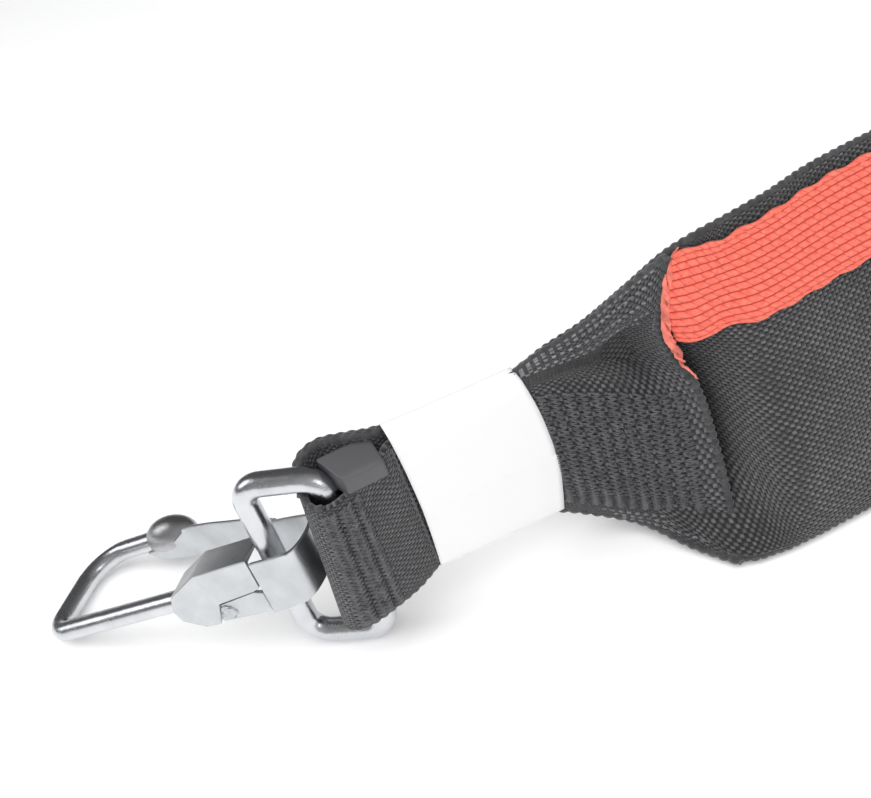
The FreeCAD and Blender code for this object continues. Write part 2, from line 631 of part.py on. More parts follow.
def make_stripe():
    """Coloured webbing sewn along the outside of the belt."""
    thick = size("stripe_thick")
    width = size("stripe_width")
    start = size("belt_start") + size("stripe_start")
    front = block(start, size("belt_end"), -belt_half - thick, -belt_half, stripe_foot, stripe_foot + width)
    rear_outer = rear_middle + belt_half
    rear = block(size("rear_belt_end"), size("belt_end"), rear_outer, rear_outer + thick,
                 stripe_foot, stripe_foot + width)
    feature("stripe", front.multiFuse([half_ring(thick, thick, stripe_foot, width), rear]))
    rows = []
    row, unsewn = size("stripe_row_wide"), size("stripe_row_end")
    gap, proud = size("stitch_gap"), size("stitch_proud")
    faces = ((start, -belt_half - thick - gap - proud), (size("rear_belt_end"), rear_outer + thick + gap))
    for low in (stripe_foot + row, stripe_foot + width - 2 * row):
        for x, y in faces:
            rows.append(block(x + unsewn, size("belt_end") - unsewn, y, y + proud, low, low + row))
    feature("stripe_stitching", Part.makeCompound(rows))


# ---------------------------------------------------------------- rear run: neck, webbing, adjuster and keeper
def make_rear_webbing():
    """Rear gathered neck, the adjusting webbing, its loose tail and the tail's folded end."""
    feature("rear_neck", loft((rear_neck_start, rear_web, rear_face, foot, strap_top),
                              (size("rear_belt_end"), rear_middle - belt_half, rear_middle + belt_half,
                               0, size("belt_width"))))
    margin = size("stitch_margin")
    lean = (rear_middle + belt_half - rear_face) / size("rear_neck_length")
    rows = [row_of_stitches(rear_neck_start + along, rear_face + lean * (along + size("stitch_wide") / 2), 1,
                            foot + margin, strap_top - margin)
            for along in neck_row_places()]
    feature("rear_neck_stitching", Part.makeCompound(rows))
    web_start = "sizes.neck_start + sizes.web_lap"
    keep(bound("Part::Box", "adjust_web", Width="sizes.web_thick", Height="sizes.web_width",
               Length="sizes.rear_belt_end - sizes.rear_neck_length - (" + web_start + ")",
               Placement__Base__x=web_start, Placement__Base__y="sizes.strap_plane + sizes.web_thick",
               Placement__Base__z="sizes.strap_foot"), "adjust_web")
    keep(bound("Part::Box", "web_tail", Length="sizes.tail_length", Width="sizes.web_thick",
               Height="sizes.web_width", Placement__Base__x="sizes.tail_start",
               Placement__Base__y="sizes.strap_plane + 2 * sizes.web_thick",
               Placement__Base__z="sizes.strap_foot"), "web_tail")
    keep(bound("Part::Box", "tail_hem", Length="sizes.tail_hem", Width="sizes.web_thick",
               Height="sizes.web_width",
               Placement__Base__x="sizes.tail_start + sizes.tail_length - sizes.tail_hem",
               Placement__Base__y="sizes.strap_plane + 3 * sizes.web_thick",
               Placement__Base__z="sizes.strap_foot"), "tail_hem")


def make_adjuster():
    """Slide adjuster: a frame whose end bars pass in front of the webbing and whose middle bar passes behind."""
    frame = doc.addObject("PartDesign::Body", "adjuster_frame")
    tall = "(sizes.web_width + 2 * sizes.adjuster_slack + 2 * sizes.adjuster_rail)"
    deep = "(sizes.web_thick + 2 * sizes.adjuster_slack + 2 * sizes.adjuster_bar_deep)"
    long, wide, rail = "sizes.adjuster_length", "sizes.adjuster_bar_wide", "sizes.adjuster_rail"
    outline = sketch_on(frame, "frame_outline", "XY_Plane")
    polygon(outline, [("0", "0"), (long, "0"), (long, tall), ("0", tall)])
    pad(frame, outline, "frame_block", deep)
    doc.recompute()
    window = sketch_on(frame, "frame_window", "XY_Plane")
    polygon(window, [(wide, rail), (long + " - " + wide, rail), (long + " - " + wide, tall + " - " + rail),
                     (wide, tall + " - " + rail)])
    pocket(frame, window, "frame_opening", deep, reversed_cut=True)
    channel = sketch_on(frame, "frame_channel", "XY_Plane")
    channel.setExpression("AttachmentOffset.Base.x", "-1")
    polygon(channel, [("0", rail), (long + " + 2", rail), (long + " + 2", tall + " - " + rail),
                      ("0", tall + " - " + rail)])
    pocket(frame, channel, "web_channel", deep + " - sizes.adjuster_bar_deep", reversed_cut=True)
    length = size("adjuster_length")
    height = frame.Shape.BoundBox.YMax
    rounding(frame, "frame_rounding", "2", lambda edge: edge.BoundBox.YLength < 0.01
             and min(abs(edge.BoundBox.XMin), abs(edge.BoundBox.XMax - length)) < 0.01
             and min(abs(edge.BoundBox.YMin), abs(edge.BoundBox.YMax - height)) < 0.01)
    front_slack = size("adjuster_slack")
    back = rear_face + front_slack + size("adjuster_bar_deep")
    low = foot - front_slack - size("adjuster_rail")
    turned = FreeCAD.Rotation(X_AXIS, Z_AXIS, V(0, -1, 0), "XYZ")
    keep(frame, "adjuster_frame", FreeCAD.Placement(V(size("adjuster_place") - length / 2, back, low), turned))
    bar = bound("Part::Box", "adjuster_bar", Length=wide, Width="sizes.adjuster_bar_deep",
                Height="sizes.web_width + 2 * sizes.adjuster_slack",
                Placement__Base__x="sizes.adjuster_place - sizes.adjuster_bar_wide / 2",
                Placement__Base__y="sizes.strap_plane + 2 * sizes.web_thick + sizes.adjuster_slack",
                Placement__Base__z="sizes.strap_foot - sizes.adjuster_slack")
    keep(bar, "adjuster_bar")


def make_keeper():
    """Moulded loop that holds the tail against the webbing."""
    keeper = doc.addObject("PartDesign::Body", "web_keeper")
    wall = "sizes.keeper_wall"
    tall = "(sizes.web_width + 1.2 + 2 * " + wall + ")"
    deep = "(2 * sizes.web_thick + 1 + 2 * " + wall + ")"
    outline = sketch_on(keeper, "keeper_outline", "XY_Plane")
    polygon(outline, [("0", "0"), (deep, "0"), (deep, tall), ("0", tall)])
    pad(keeper, outline, "keeper_block", "sizes.keeper_length")
    doc.recompute()
    hollow = sketch_on(keeper, "keeper_hollow", "XY_Plane")
    polygon(hollow, [(wall, wall), (deep + " - " + wall, wall), (deep + " - " + wall, tall + " - " + wall),
                     (wall, tall + " - " + wall)])
    pocket(keeper, hollow, "keeper_opening", "sizes.keeper_length", reversed_cut=True)
    start = V(size("keeper_place") - size("keeper_length") / 2, rear_web - 0.5 - size("keeper_wall"),
              foot - 0.6 - size("keeper_wall"))
    turned = FreeCAD.Rotation(Y_AXIS, Z_AXIS, X_AXIS, "XYZ")
    keep(keeper, "web_keeper", FreeCAD.Placement(start, turned))


# ---------------------------------------------------------------- the whole harness
for make in (make_bail, make_hook_rod, make_eye_band, make_hook_body, make_body_rivet, make_gate, make_gate_pin,
             make_gate_spring, make_hook_webbing, make_loop_liner, make_loop_stitching, make_label_band,
             make_front_neck, make_belt, make_stripe, make_rear_webbing, make_adjuster, make_keeper):
    make()
doc.recompute()

for obj in doc.Objects:
    if "Invalid" in obj.State or "Error" in obj.State:
        raise ValueError("%s failed: %s" % (obj.Name, obj.State))
for node in nodes:
    if node.Shape.isNull() or not node.Shape.isValid():
        raise ValueError("bad shape: " + node.Label)

os.makedirs("parts", exist_ok=True)
for node in nodes:
    node.Shape.exportStep(os.path.join("parts", node.Label + ".step"))
    box = node.Shape.BoundBox
    print("%-20s %9.1f mm3  x %.1f..%.1f  y %.1f..%.1f  z %.1f..%.1f  solids %d" % (
        node.Label, node.Shape.Volume, box.XMin, box.XMax, box.YMin, box.YMax, box.ZMin, box.ZMax,
        len(node.Shape.Solids)))
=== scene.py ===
"""Shoulder harness end: cloth, thread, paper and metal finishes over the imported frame.

Shapes are given in millimetres and scaled to metres when the meshes are made.
"""

import bpy
import bmesh
import json
import math
import random
import numpy as np
from mathutils import Matrix, Vector

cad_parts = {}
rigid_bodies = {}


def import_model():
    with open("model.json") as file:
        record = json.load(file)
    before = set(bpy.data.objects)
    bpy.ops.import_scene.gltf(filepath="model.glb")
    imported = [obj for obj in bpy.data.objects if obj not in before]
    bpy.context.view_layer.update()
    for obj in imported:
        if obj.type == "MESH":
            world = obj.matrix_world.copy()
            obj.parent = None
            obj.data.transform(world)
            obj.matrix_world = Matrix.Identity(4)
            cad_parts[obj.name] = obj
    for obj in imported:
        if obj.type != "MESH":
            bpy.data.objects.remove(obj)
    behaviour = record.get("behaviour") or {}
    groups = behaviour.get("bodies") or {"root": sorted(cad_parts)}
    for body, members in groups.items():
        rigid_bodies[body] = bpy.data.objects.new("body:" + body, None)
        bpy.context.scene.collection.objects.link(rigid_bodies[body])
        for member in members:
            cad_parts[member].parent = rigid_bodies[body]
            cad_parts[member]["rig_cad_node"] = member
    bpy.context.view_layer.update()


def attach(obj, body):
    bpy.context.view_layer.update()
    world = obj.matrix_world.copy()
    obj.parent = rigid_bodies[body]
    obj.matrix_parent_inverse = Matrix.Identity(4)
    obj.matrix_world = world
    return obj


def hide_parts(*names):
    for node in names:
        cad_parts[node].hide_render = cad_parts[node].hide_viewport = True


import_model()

bl_info = {
    "name": "Harness end",
    "version": (1, 0, 0),
    "blender": (4, 5, 0),
    "location": "View3D > Sidebar > Harness",
    "description": "Builds the cloth, thread and finishes of a shoulder-harness end",
    "category": "Object",
}

MM = 0.001

# cloth, in millimetres
WEB_WIDTH, WEB_THICK, REAR_WEB_THICK = 40, 1.9, 1.7
BELT_CUT, BELT_THICK = 80, 2.2
BELT_LOW, BELT_HIGH = 1.0, 79.2
NECK_THICK, REAR_NECK_THICK = 1.8, 2.0
STRIPE_THICK = 0.5
PAPER_THICK = 0.16
# far bend of the belt
BEND_X, BEND_Y, BEND_STEPS = 250, 16.5, 12
STRIPE_BEND_RADIUS = 18.4
STRIPE_REAR_Y = 34.9
STRIPE_HEIGHTS = (56.5, 66.5, 76.5)


# ---------------------------------------------------------------- curves and surfaces in millimetres
def catmull(values, places):
    """Smooth curve through values, at places counted in values from 0."""
    values = np.asarray(values, float)
    last = len(values) - 1
    places = np.clip(np.asarray(places, float), 0, last)
    first = np.minimum(places.astype(int), last - 1)
    part = (places - first).reshape((-1,) + (1,) * (values.ndim - 1))
    before = values[np.maximum(first - 1, 0)]
    start, end = values[first], values[first + 1]
    after = values[np.minimum(first + 2, last)]
    return 0.5 * (2 * start + (end - before) * part
                  + (2 * before - 5 * start + 4 * end - after) * part ** 2
                  + (3 * start - before - 3 * end + after) * part ** 3)


def lengths(points):
    """Distance along a line of points, from its start."""
    steps = np.linalg.norm(np.diff(points, axis=0), axis=1)
    return np.concatenate([[0.0], np.cumsum(steps)])


def even(points, step):
    """Points along a line at even steps."""
    points = np.asarray(points, float)
    run = lengths(points)
    count = max(2, int(round(run[-1] / step)) + 1)
    wanted = np.linspace(0, run[-1], count)
    return np.stack([np.interp(wanted, run, points[:, axis]) for axis in range(3)], axis=1)


class Patch:
    """A cloth surface through a net of points: net[row][column], rows from the lower edge to the upper."""

    def __init__(self, net, step, rows):
        net = np.asarray(net, float)
        fine = 24
        spans = net.shape[1] - 1
        columns = catmull(net.transpose(1, 0, 2), np.linspace(0, spans, fine * spans + 1))
        middle = columns[:, net.shape[0] // 2]
        run = lengths(middle)
        count = max(3, int(round(run[-1] / step)) + 1)
        wanted = np.interp(np.linspace(0, run[-1], count), run, np.arange(len(run)))
        low = wanted.astype(int)
        high = np.minimum(low + 1, len(run) - 1)
        part = (wanted - low)[:, None, None]
        columns = columns[low] * (1 - part) + columns[high] * part
        self.grid = np.stack([catmull(column, np.linspace(0, net.shape[0] - 1, rows)) for column in columns])
        self.length = run[-1]
        self.normals()

    def normals(self):
        """Unit normals, from the steps along and across."""
        along = np.gradient(self.grid, axis=0)
        across = np.gradient(self.grid, axis=1)
        normal = np.cross(along, across)
        self.normal = normal / np.maximum(np.linalg.norm(normal, axis=2, keepdims=True), 1e-9)

    def lift(self, amount):
        """The same surface, moved along its normals; amount is a number or one per point."""
        moved = Patch.__new__(Patch)
        moved.length = self.length
        moved.grid = self.grid + self.normal * (amount if np.isscalar(amount) else amount[:, :, None])
        moved.normals()
        return moved

    def part(self, start, end, low=0.0, high=1.0, rows=None):
        """Part of the surface between two shares of its length and of its width."""
        count = self.grid.shape[0] - 1
        columns = self.grid[int(round(start * count)):int(round(end * count)) + 1]
        last = self.grid.shape[1] - 1
        places = np.linspace(low * last, high * last, rows or self.grid.shape[1])
        cut = Patch.__new__(Patch)
        cut.grid = np.stack([catmull(column, places) for column in columns])
        cut.length = self.length * (end - start)
        cut.normals()
        return cut

    def at(self, along, across):
        """Point and normal at shares of the length and the width."""
        a = along * (self.grid.shape[0] - 1)
        b = across * (self.grid.shape[1] - 1)
        i, j = min(int(a), self.grid.shape[0] - 2), min(int(b), self.grid.shape[1] - 2)
        s, t = a - i, b - j
        found = []
        for field in (self.grid, self.normal):
            found.append(field[i, j] * (1 - s) * (1 - t) + field[i + 1, j] * s * (1 - t)
                         + field[i, j + 1] * (1 - s) * t + field[i + 1, j + 1] * s * t)
        return found

    def line(self, across, step=0.5, start=0.0, end=1.0):
        """A line along the cloth at a share of its width."""
        count = max(3, int(self.length * (end - start) / step))
        return even([self.at(start + (end - start) * i / count, across)[0] for i in range(count + 1)], step)


# ---------------------------------------------------------------- making objects
def link(name, data, material):
    """A new object in the scene, at the origin, with its material."""
    obj = bpy.data.objects.new(name, data)
    bpy.context.scene.collection.objects.link(obj)
    data.materials.append(material)
    return obj


def mesh_of(name, bm):
    """The bmesh as a mesh, with every face smooth."""
    for face in bm.faces:
        face.smooth = True
    mesh = bpy.data.meshes.new(name)
    bm.to_mesh(mesh)
    bm.free()
    return mesh


def softened(obj, width, segments):
    """Round the sharp edges."""
    bevel = obj.modifiers.new("edges", "BEVEL")
    bevel.affect = "EDGES"
    bevel.width = width * MM
    bevel.segments = segments
    bevel.profile = 0.5
    bevel.material = -1
    return bevel


def cloth(name, patch, width, thick, material):
    """A sheet of cloth on a patch, with UVs in metres along and across the weave."""
    bm = bmesh.new()
    columns, rows = patch.grid.shape[:2]
    bmesh.ops.create_grid(bm, x_segments=columns - 1, y_segments=rows - 1, size=0.5, calc_uvs=True)
    uv = bm.loops.layers.uv.verify()
    places = {vert: (vert.co.x + 0.5, vert.co.y + 0.5) for vert in bm.verts}
    for face in bm.faces:
        for loop in face.loops:
            across, up = places[loop.vert]
            loop[uv].uv = (across * patch.length * MM, up * width * MM)
    for vert, (across, up) in places.items():
        place = patch.grid[int(round(across * (columns - 1))), int(round(up * (rows - 1)))]
        vert.co = Vector(place) * MM
    obj = link(name, mesh_of(name, bm), material)
    solid = obj.modifiers.new("thickness", "SOLIDIFY")
    solid.thickness = thick * MM
    solid.offset = 0.0
    solid.use_even_offset = False
    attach(obj, "harness")
    flat = [np.mean([lengths(line)[-1] for line in lines]) * MM
            for lines in (patch.grid, patch.grid.transpose(1, 0, 2))]
    return obj


def threads(name, strands, radius, material, sides=1, body="harness"):
    """Thin strands as one curve object; each strand is points, or (points, radii)."""
    data = bpy.data.curves.new(name, "CURVE")
    data.dimensions = "3D"
    data.bevel_depth = radius * MM
    data.bevel_resolution = sides
    data.use_fill_caps = True
    for strand in strands:
        points, radii = strand if isinstance(strand, tuple) else (strand, None)
        spline = data.splines.new("POLY")
        spline.points.add(len(points) - 1)
        flat = np.ones((len(points), 4))
        flat[:, :3] = np.asarray(points) * MM
        spline.points.foreach_set("co", flat.ravel())
        if radii is not None:
            spline.points.foreach_set("radius", np.asarray(radii, float))
        spline.use_smooth = True
    obj = link(name, data, material)
    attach(obj, body)
    return obj


def selvedge(points, pitch, phase=0.0):
    """Radii along an edge line that swell once a pitch, like the turned weft of a webbing's edge."""
    run = lengths(np.asarray(points))
    swell = np.abs(np.sin(math.pi * (run / pitch + phase)))
    return (points, 0.72 + 0.42 * swell)


def zigzag(patch, start, end, low, high, pitch, wide, proud):
    """One row of zigzag stitches across the cloth, centred at a share of the length."""
    place, top = patch.at(start, low)[0], patch.at(end, high)[0]
    count = max(2, int(np.linalg.norm(top - place) / pitch))
    half = wide / 2 / patch.length
    points = []
    for i in range(count * 2 + 1):
        share = i / (count * 2)
        along = start + (end - start) * share + (half if i % 2 else -half)
        across = low + (high - low) * share
        spot, normal = patch.at(along, across)
        points.append(spot + normal * (proud * 0.2))
        if i < count * 2:
            between = start + (end - start) * (share + 0.5 / (count * 2))
            spot, normal = patch.at(between, across + (high - low) * 0.5 / (count * 2))
            points.append(spot + normal * proud)
    return points


# ---------------------------------------------------------------- shader helpers
class Graph:
    """Short calls for building a node tree."""

    def __init__(self, tree):
        self.tree = tree

    def node(self, kind, **facts):
        made = self.tree.nodes.new(kind)
        for key, value in facts.items():
            setattr(made, key, value)
        return made

    def put(self, value, socket):
        if isinstance(value, bpy.types.NodeSocket):
            self.tree.links.new(value, socket)
        else:
            socket.default_value = value

    def math(self, operation, *values):
        made = self.node("ShaderNodeMath", operation=operation)
        for value, socket in zip(values, made.inputs):
            self.put(value, socket)
        return made.outputs[0]

    def noise(self, vector, scale, detail=3.0, rough=0.55):
        made = self.node("ShaderNodeTexNoise")
        self.put(vector, made.inputs["Vector"])
        self.put(scale, made.inputs["Scale"])
        self.put(detail, made.inputs["Detail"])
        self.put(rough, made.inputs["Roughness"])
        return made.outputs["Fac"]

    def span(self, value, low, high, to_low, to_high):
        made = self.node("ShaderNodeMapRange")
        for amount, socket in zip((value, low, high, to_low, to_high), made.inputs):
            self.put(amount, socket)
        return made.outputs[0]

    def mix(self, factor, first, second):
        made = self.node("ShaderNodeMix", data_type="RGBA")
        self.put(factor, made.inputs["Factor"])
        self.put(first, made.inputs[6])
        self.put(second, made.inputs[7])
        return made.outputs[2]

    def bump(self, height, strength, distance):
        made = self.node("ShaderNodeBump")
        self.put(height, made.inputs["Height"])
        self.put(strength, made.inputs["Strength"])
        self.put(distance, made.inputs["Distance"])
        return made.outputs["Normal"]


def weave_group():
    """Plain weave from a UV map in metres: height, which thread is on top with its crown as a mask for wear and
    painted sheen, and a shade per thread.
    """
    group = bpy.data.node_groups.new("Plain weave", "ShaderNodeTree")
    for name, kind, wanted in (("UV", "NodeSocketVector", "INPUT"), ("Along", "NodeSocketFloat", "INPUT"),
                               ("Across", "NodeSocketFloat", "INPUT"), ("Height", "NodeSocketFloat", "OUTPUT"),
                               ("Top thread wear and sheen", "NodeSocketFloat", "OUTPUT"), ("Shade", "NodeSocketFloat", "OUTPUT")):
        group.interface.new_socket(name=name, in_out=wanted, socket_type=kind)
    g = Graph(group)
    come, go = g.node("NodeGroupInput"), g.node("NodeGroupOutput")
    split = g.node("ShaderNodeSeparateXYZ")
    g.put(come.outputs["UV"], split.inputs[0])
    wander = g.span(g.noise(come.outputs["UV"], 260.0, 2.0), 0.0, 1.0, -0.16, 0.16)
    x = g.math("ADD", g.math("DIVIDE", split.outputs[0], come.outputs["Along"]), wander)
    y = g.math("ADD", g.math("DIVIDE", split.outputs[1], come.outputs["Across"]), wander)
    cell_x, cell_y = g.math("FLOOR", x), g.math("FLOOR", y)
    odd = g.math("MODULO", g.math("ABSOLUTE", g.math("ADD", cell_x, cell_y)), 2.0)
    hill_x = g.math("SINE", g.math("MULTIPLY", g.math("FRACT", x), math.pi))
    hill_y = g.math("SINE", g.math("MULTIPLY", g.math("FRACT", y), math.pi))
    warp = g.math("MULTIPLY", g.math("POWER", hill_y, 0.5), g.math("MULTIPLY_ADD", hill_x, 0.6, 0.4))
    weft = g.math("MULTIPLY", g.math("POWER", hill_x, 0.6), g.math("MULTIPLY_ADD", hill_y, 0.5, 0.15))
    height = g.math("ADD", g.math("MULTIPLY", warp, odd),
                    g.math("MULTIPLY", weft, g.math("SUBTRACT", 1.0, odd)))
    strands = g.math("SINE", g.math("MULTIPLY", g.math("ADD", x, g.math("MULTIPLY", y, 0.35)), math.pi * 9.0))
    height = g.math("MULTIPLY_ADD", strands, 0.035, height)
    white = g.node("ShaderNodeTexWhiteNoise", noise_dimensions="2D")
    joined = g.node("ShaderNodeCombineXYZ")
    g.put(cell_x, joined.inputs[0])
    g.put(cell_y, joined.inputs[1])
    g.put(joined.outputs[0], white.inputs["Vector"])
    g.put(height, go.inputs["Height"])
    g.put(g.math("MULTIPLY", odd, warp), go.inputs["Top thread wear and sheen"])
    g.put(white.outputs["Value"], go.inputs["Shade"])
    return group


def place_group(name, outputs):
    """An empty node group that reads a place and puts out numbers."""
    group = bpy.data.node_groups.new(name, "ShaderNodeTree")
    group.interface.new_socket(name="Place", in_out="INPUT", socket_type="NodeSocketVector")
    for output in outputs:
        group.interface.new_socket(name=output, in_out="OUTPUT", socket_type="NodeSocketFloat")
    g = Graph(group)
    return group, g, g.node("NodeGroupInput").outputs["Place"], g.node("NodeGroupOutput").inputs


def strand_group():
    """Twisted thread: a slow change of shade and fine strands."""
    group, g, place, out = place_group("Thread strands", ("Shade", "Height"))
    g.put(g.noise(place, 2600.0, 3.0, 0.7), out["Height"])
    g.put(g.span(g.noise(place, 500.0, 2.0), 0.3, 0.7, 0.0, 1.0), out["Shade"])
    return group


def plate_group():
    """Zinc plate: clouding, uneven polish and fine pits."""
    group, g, place, out = place_group("Zinc clouding", ("Cloud", "Polish", "Height"))
    cloud = g.noise(place, 130.0, 4.0)
    fine = g.noise(place, 1500.0, 3.0, 0.7)
    g.put(g.span(cloud, 0.35, 0.7, 0.0, 1.0), out["Cloud"])
    g.put(g.math("MULTIPLY_ADD", fine, 0.5, g.math("MULTIPLY", cloud, 0.5)), out["Polish"])
    g.put(g.math("ADD", fine, g.math("MULTIPLY", cloud, 2.0)), out["Height"])
    return group


def principled(name):
    """A material, its graph and its shader."""
    material = bpy.data.materials.new(name)
    material.use_nodes = True
    return material, Graph(material.node_tree), material.node_tree.nodes["Principled BSDF"]


def woven(name, group, along, across, dark, light, rough, deep=0.5):
    """Woven cloth: a dark ground with the threads on top painted lighter towards their crowns, partly for wear and
    partly as painted sheen.
    """
    material, g, shader = principled(name)
    uv = g.node("ShaderNodeUVMap")
    weave = g.node("ShaderNodeGroup", node_tree=group)
    g.put(uv.outputs[0], weave.inputs["UV"])
    g.put(along * MM, weave.inputs["Along"])
    g.put(across * MM, weave.inputs["Across"])
    cloudy = g.span(g.noise(uv.outputs[0], 60.0), 0.3, 0.7, 0.75, 1.2)
    # the lighter colour on the top threads' crowns is partly wear and partly painted sheen
    over = g.math("MULTIPLY", weave.outputs["Top thread wear and sheen"], cloudy)
    over = g.math("MULTIPLY", over, g.span(weave.outputs["Shade"], 0.0, 1.0, 0.55, 1.25))
    g.put(g.mix(over, dark, light), shader.inputs["Base Color"])
    g.put(g.bump(weave.outputs["Height"], 1.0, deep * MM), shader.inputs["Normal"])
    g.put(rough, shader.inputs["Roughness"])
    g.put(0.25, shader.inputs["Sheen Weight"])
    g.put(0.4, shader.inputs["Sheen Roughness"])
    g.put(0.35, shader.inputs["Specular IOR Level"])
    return material


def on_object(g, group):
    """The group's node, reading the piece's own coordinates."""
    made = g.node("ShaderNodeGroup", node_tree=group)
    g.put(g.node("ShaderNodeTexCoord").outputs["Object"], made.inputs["Place"])
    return made.outputs


def shaded(colour, factor):
    """The colour, darker or lighter."""
    return tuple(min(1.0, c * factor) for c in colour[:3]) + (1.0,)


def yarn(name, group, colour, rough):
    """Twisted thread, with fine diagonal strands."""
    material, g, shader = principled(name)
    strands = on_object(g, group)
    g.put(g.mix(strands["Shade"], shaded(colour, 0.55), shaded(colour, 1.5)), shader.inputs["Base Color"])
    g.put(g.bump(strands["Height"], 0.8, 0.18 * MM), shader.inputs["Normal"])
    g.put(rough, shader.inputs["Roughness"])
    g.put(0.3, shader.inputs["Sheen Weight"])
    return material


def zinc(name, group, colour, rough, grain):
    """Bright zinc plate: faint clouding, fine pits and uneven polish."""
    material, g, shader = principled(name)
    plate = on_object(g, group)
    g.put(g.mix(plate["Cloud"], colour, shaded(colour, 0.86)), shader.inputs["Base Color"])
    g.put(1.0, shader.inputs["Metallic"])
    g.put(g.span(plate["Polish"], 0.3, 0.7, rough * 0.8, rough * 1.35), shader.inputs["Roughness"])
    g.put(g.bump(plate["Height"], grain, 0.06 * MM), shader.inputs["Normal"])
    return material


def coral_ribs(settings):
    """Coral stripe: colour by the mesh's rib shape, darker in the grooves between ribs and twists as painted
    shade, with twisted yarn.
    """
    material, g, shader = principled("coral_ribs")
    uv = g.node("ShaderNodeUVMap").outputs[0]
    split = g.node("ShaderNodeSeparateXYZ")
    g.put(uv, split.inputs[0])
    pitch = settings.stripe_width / settings.rib_count
    rib = g.math("FRACT", g.math("DIVIDE", split.outputs[1], pitch))
    round_rib = g.math("SINE", g.math("MULTIPLY", rib, math.pi))
    number = g.math("FLOOR", g.math("DIVIDE", split.outputs[1], pitch))
    twist = g.math("ADD", g.math("DIVIDE", split.outputs[0], 2.3 * MM),
                   g.math("ADD", g.math("MULTIPLY", rib, 0.9), g.math("MULTIPLY", number, 0.37)))
    segment = g.math("SINE", g.math("MULTIPLY", g.math("FRACT", twist), math.pi))
    # high on the rib crowns and low in the grooves, where painted shade goes
    groove_shade_mask = g.math("MULTIPLY", g.math("POWER", round_rib, 0.6), g.math("POWER", segment, 0.2))
    cloud = g.noise(uv, 900.0, 3.0)
    body = g.mix(g.span(cloud, 0.3, 0.7, 0.0, 1.0), settings.stripe_deep, settings.stripe_bright)
    # the dark red in the grooves between ribs and twists is painted shade
    g.put(g.mix(g.span(groove_shade_mask, 0.28, 0.72, 0.0, 1.0), (0.60, 0.045, 0.035, 1), body), shader.inputs["Base Color"])
    turns = g.math("MULTIPLY", g.math("POWER", round_rib, 0.6), g.math("POWER", segment, 0.3))
    height = g.math("ADD", turns, g.math("MULTIPLY", g.noise(uv, 2600.0, 2.0), 0.12))
    g.put(g.bump(height, 0.9, 0.35 * MM), shader.inputs["Normal"])
    g.put(0.62, shader.inputs["Roughness"])
    g.put(0.35, shader.inputs["Sheen Weight"])
    g.put((1.0, 0.6, 0.5, 1.0), shader.inputs["Sheen Tint"])
    return material


def plain(name, colour, rough, grain=0.0):
    """One colour, with a fine grain where it is asked for."""
    material, g, shader = principled(name)
    g.put(colour, shader.inputs["Base Color"])
    g.put(rough, shader.inputs["Roughness"])
    if grain:
        place = g.node("ShaderNodeTexCoord").outputs["Object"]
        g.put(g.bump(g.noise(place, 900.0, 4.0), grain, 0.1 * MM), shader.inputs["Normal"])
    return material


MATERIALS = {}


def make_materials(settings):
    """Every finish, by a short name."""
    weave, strand, plate = weave_group(), strand_group(), plate_group()
    # the lighter greys of the woven cloths are partly wear and partly painted sheen on the top threads
    black, grey = (0.022, 0.022, 0.024, 1), (0.135, 0.135, 0.145, 1)
    MATERIALS["web"] = woven("black_webbing", weave, 0.85, 0.75, black, grey, 0.62)
    MATERIALS["belt"] = woven("black_belt", weave, 1.0, 0.85, (0.02, 0.02, 0.021, 1), (0.15, 0.15, 0.155, 1),
                              0.6, deep=0.6)
    MATERIALS["neck"] = woven("gathered_belt", weave, 0.95, 1.0, black, (0.17, 0.17, 0.18, 1), 0.6, deep=0.7)
    MATERIALS["black_thread"] = yarn("black_thread", strand, (0.07, 0.07, 0.076, 1), 0.5)
    # the knots' lighter grey is partly the thread's own tone and partly painted sheen
    MATERIALS["knots"] = yarn("weft_knots", strand, (0.15, 0.15, 0.16, 1), 0.5)
    MATERIALS["edge"] = yarn("black_edge", strand, (0.036, 0.036, 0.039, 1), 0.6)
    MATERIALS["stripe"] = coral_ribs(settings)
    MATERIALS["orange_thread"] = yarn("orange_thread", strand, (0.90, 0.16, 0.11, 1), 0.6)
    MATERIALS["liner"] = plain("gloss_liner", (0.085, 0.085, 0.092, 1), 0.48, 0.15)
    MATERIALS["plastic"] = plain("black_plastic", (0.018, 0.018, 0.019, 1), 0.42, 0.25)
    MATERIALS["paper"] = plain("paper_band", settings.paper, 0.65, 0.05)
    MATERIALS["wire"] = zinc("zinc_steel", plate, (0.66, 0.67, 0.69, 1), 0.22, 0.8)
    MATERIALS["sheet"] = zinc("zinc_sheet", plate, (0.60, 0.615, 0.63, 1), 0.34, 0.5)
    MATERIALS["head"] = zinc("dull_zinc", plate, (0.50, 0.50, 0.51, 1), 0.34, 0.5)


# ---------------------------------------------------------------- loop of narrow webbing
# Plan of the loop from the label round the bail's bar and back: x, y, lower edge, upper edge, and how
# much further towards the hook the lower edge lies.
LOOP = (
    (-90, 28.9, 13.0, 51.6, 0), (-108, 28.6, 14.3, 52.4, 0), (-122, 28.3, 15.2, 52.8, 0),
    (-126, 27.0, 14.8, 51.4, 0), (-130, 26.0, 13.6, 50.6, 0.2), (-135, 25.2, 12.6, 48.0, 0.8),
    (-140, 24.8, 11.6, 46.8, 1.6), (-143.2, 26.0, 10.6, 46.6, 2.8), (-144.8, 29.6, 9.6, 46.8, 3.6),
    (-143.9, 34.0, 9.4, 49.5, 3.2), (-142.0, 36.8, 10.0, 53.0, 2.0), (-137.0, 37.0, 11.0, 54.8, 0.8),
    (-130, 34.6, 12.4, 54.4, 0.2), (-124, 32.0, 14.6, 54.2, 0), (-108, 31.4, 14.3, 52.6, 0),
    (-90, 31.1, 13.0, 51.6, 0),
)


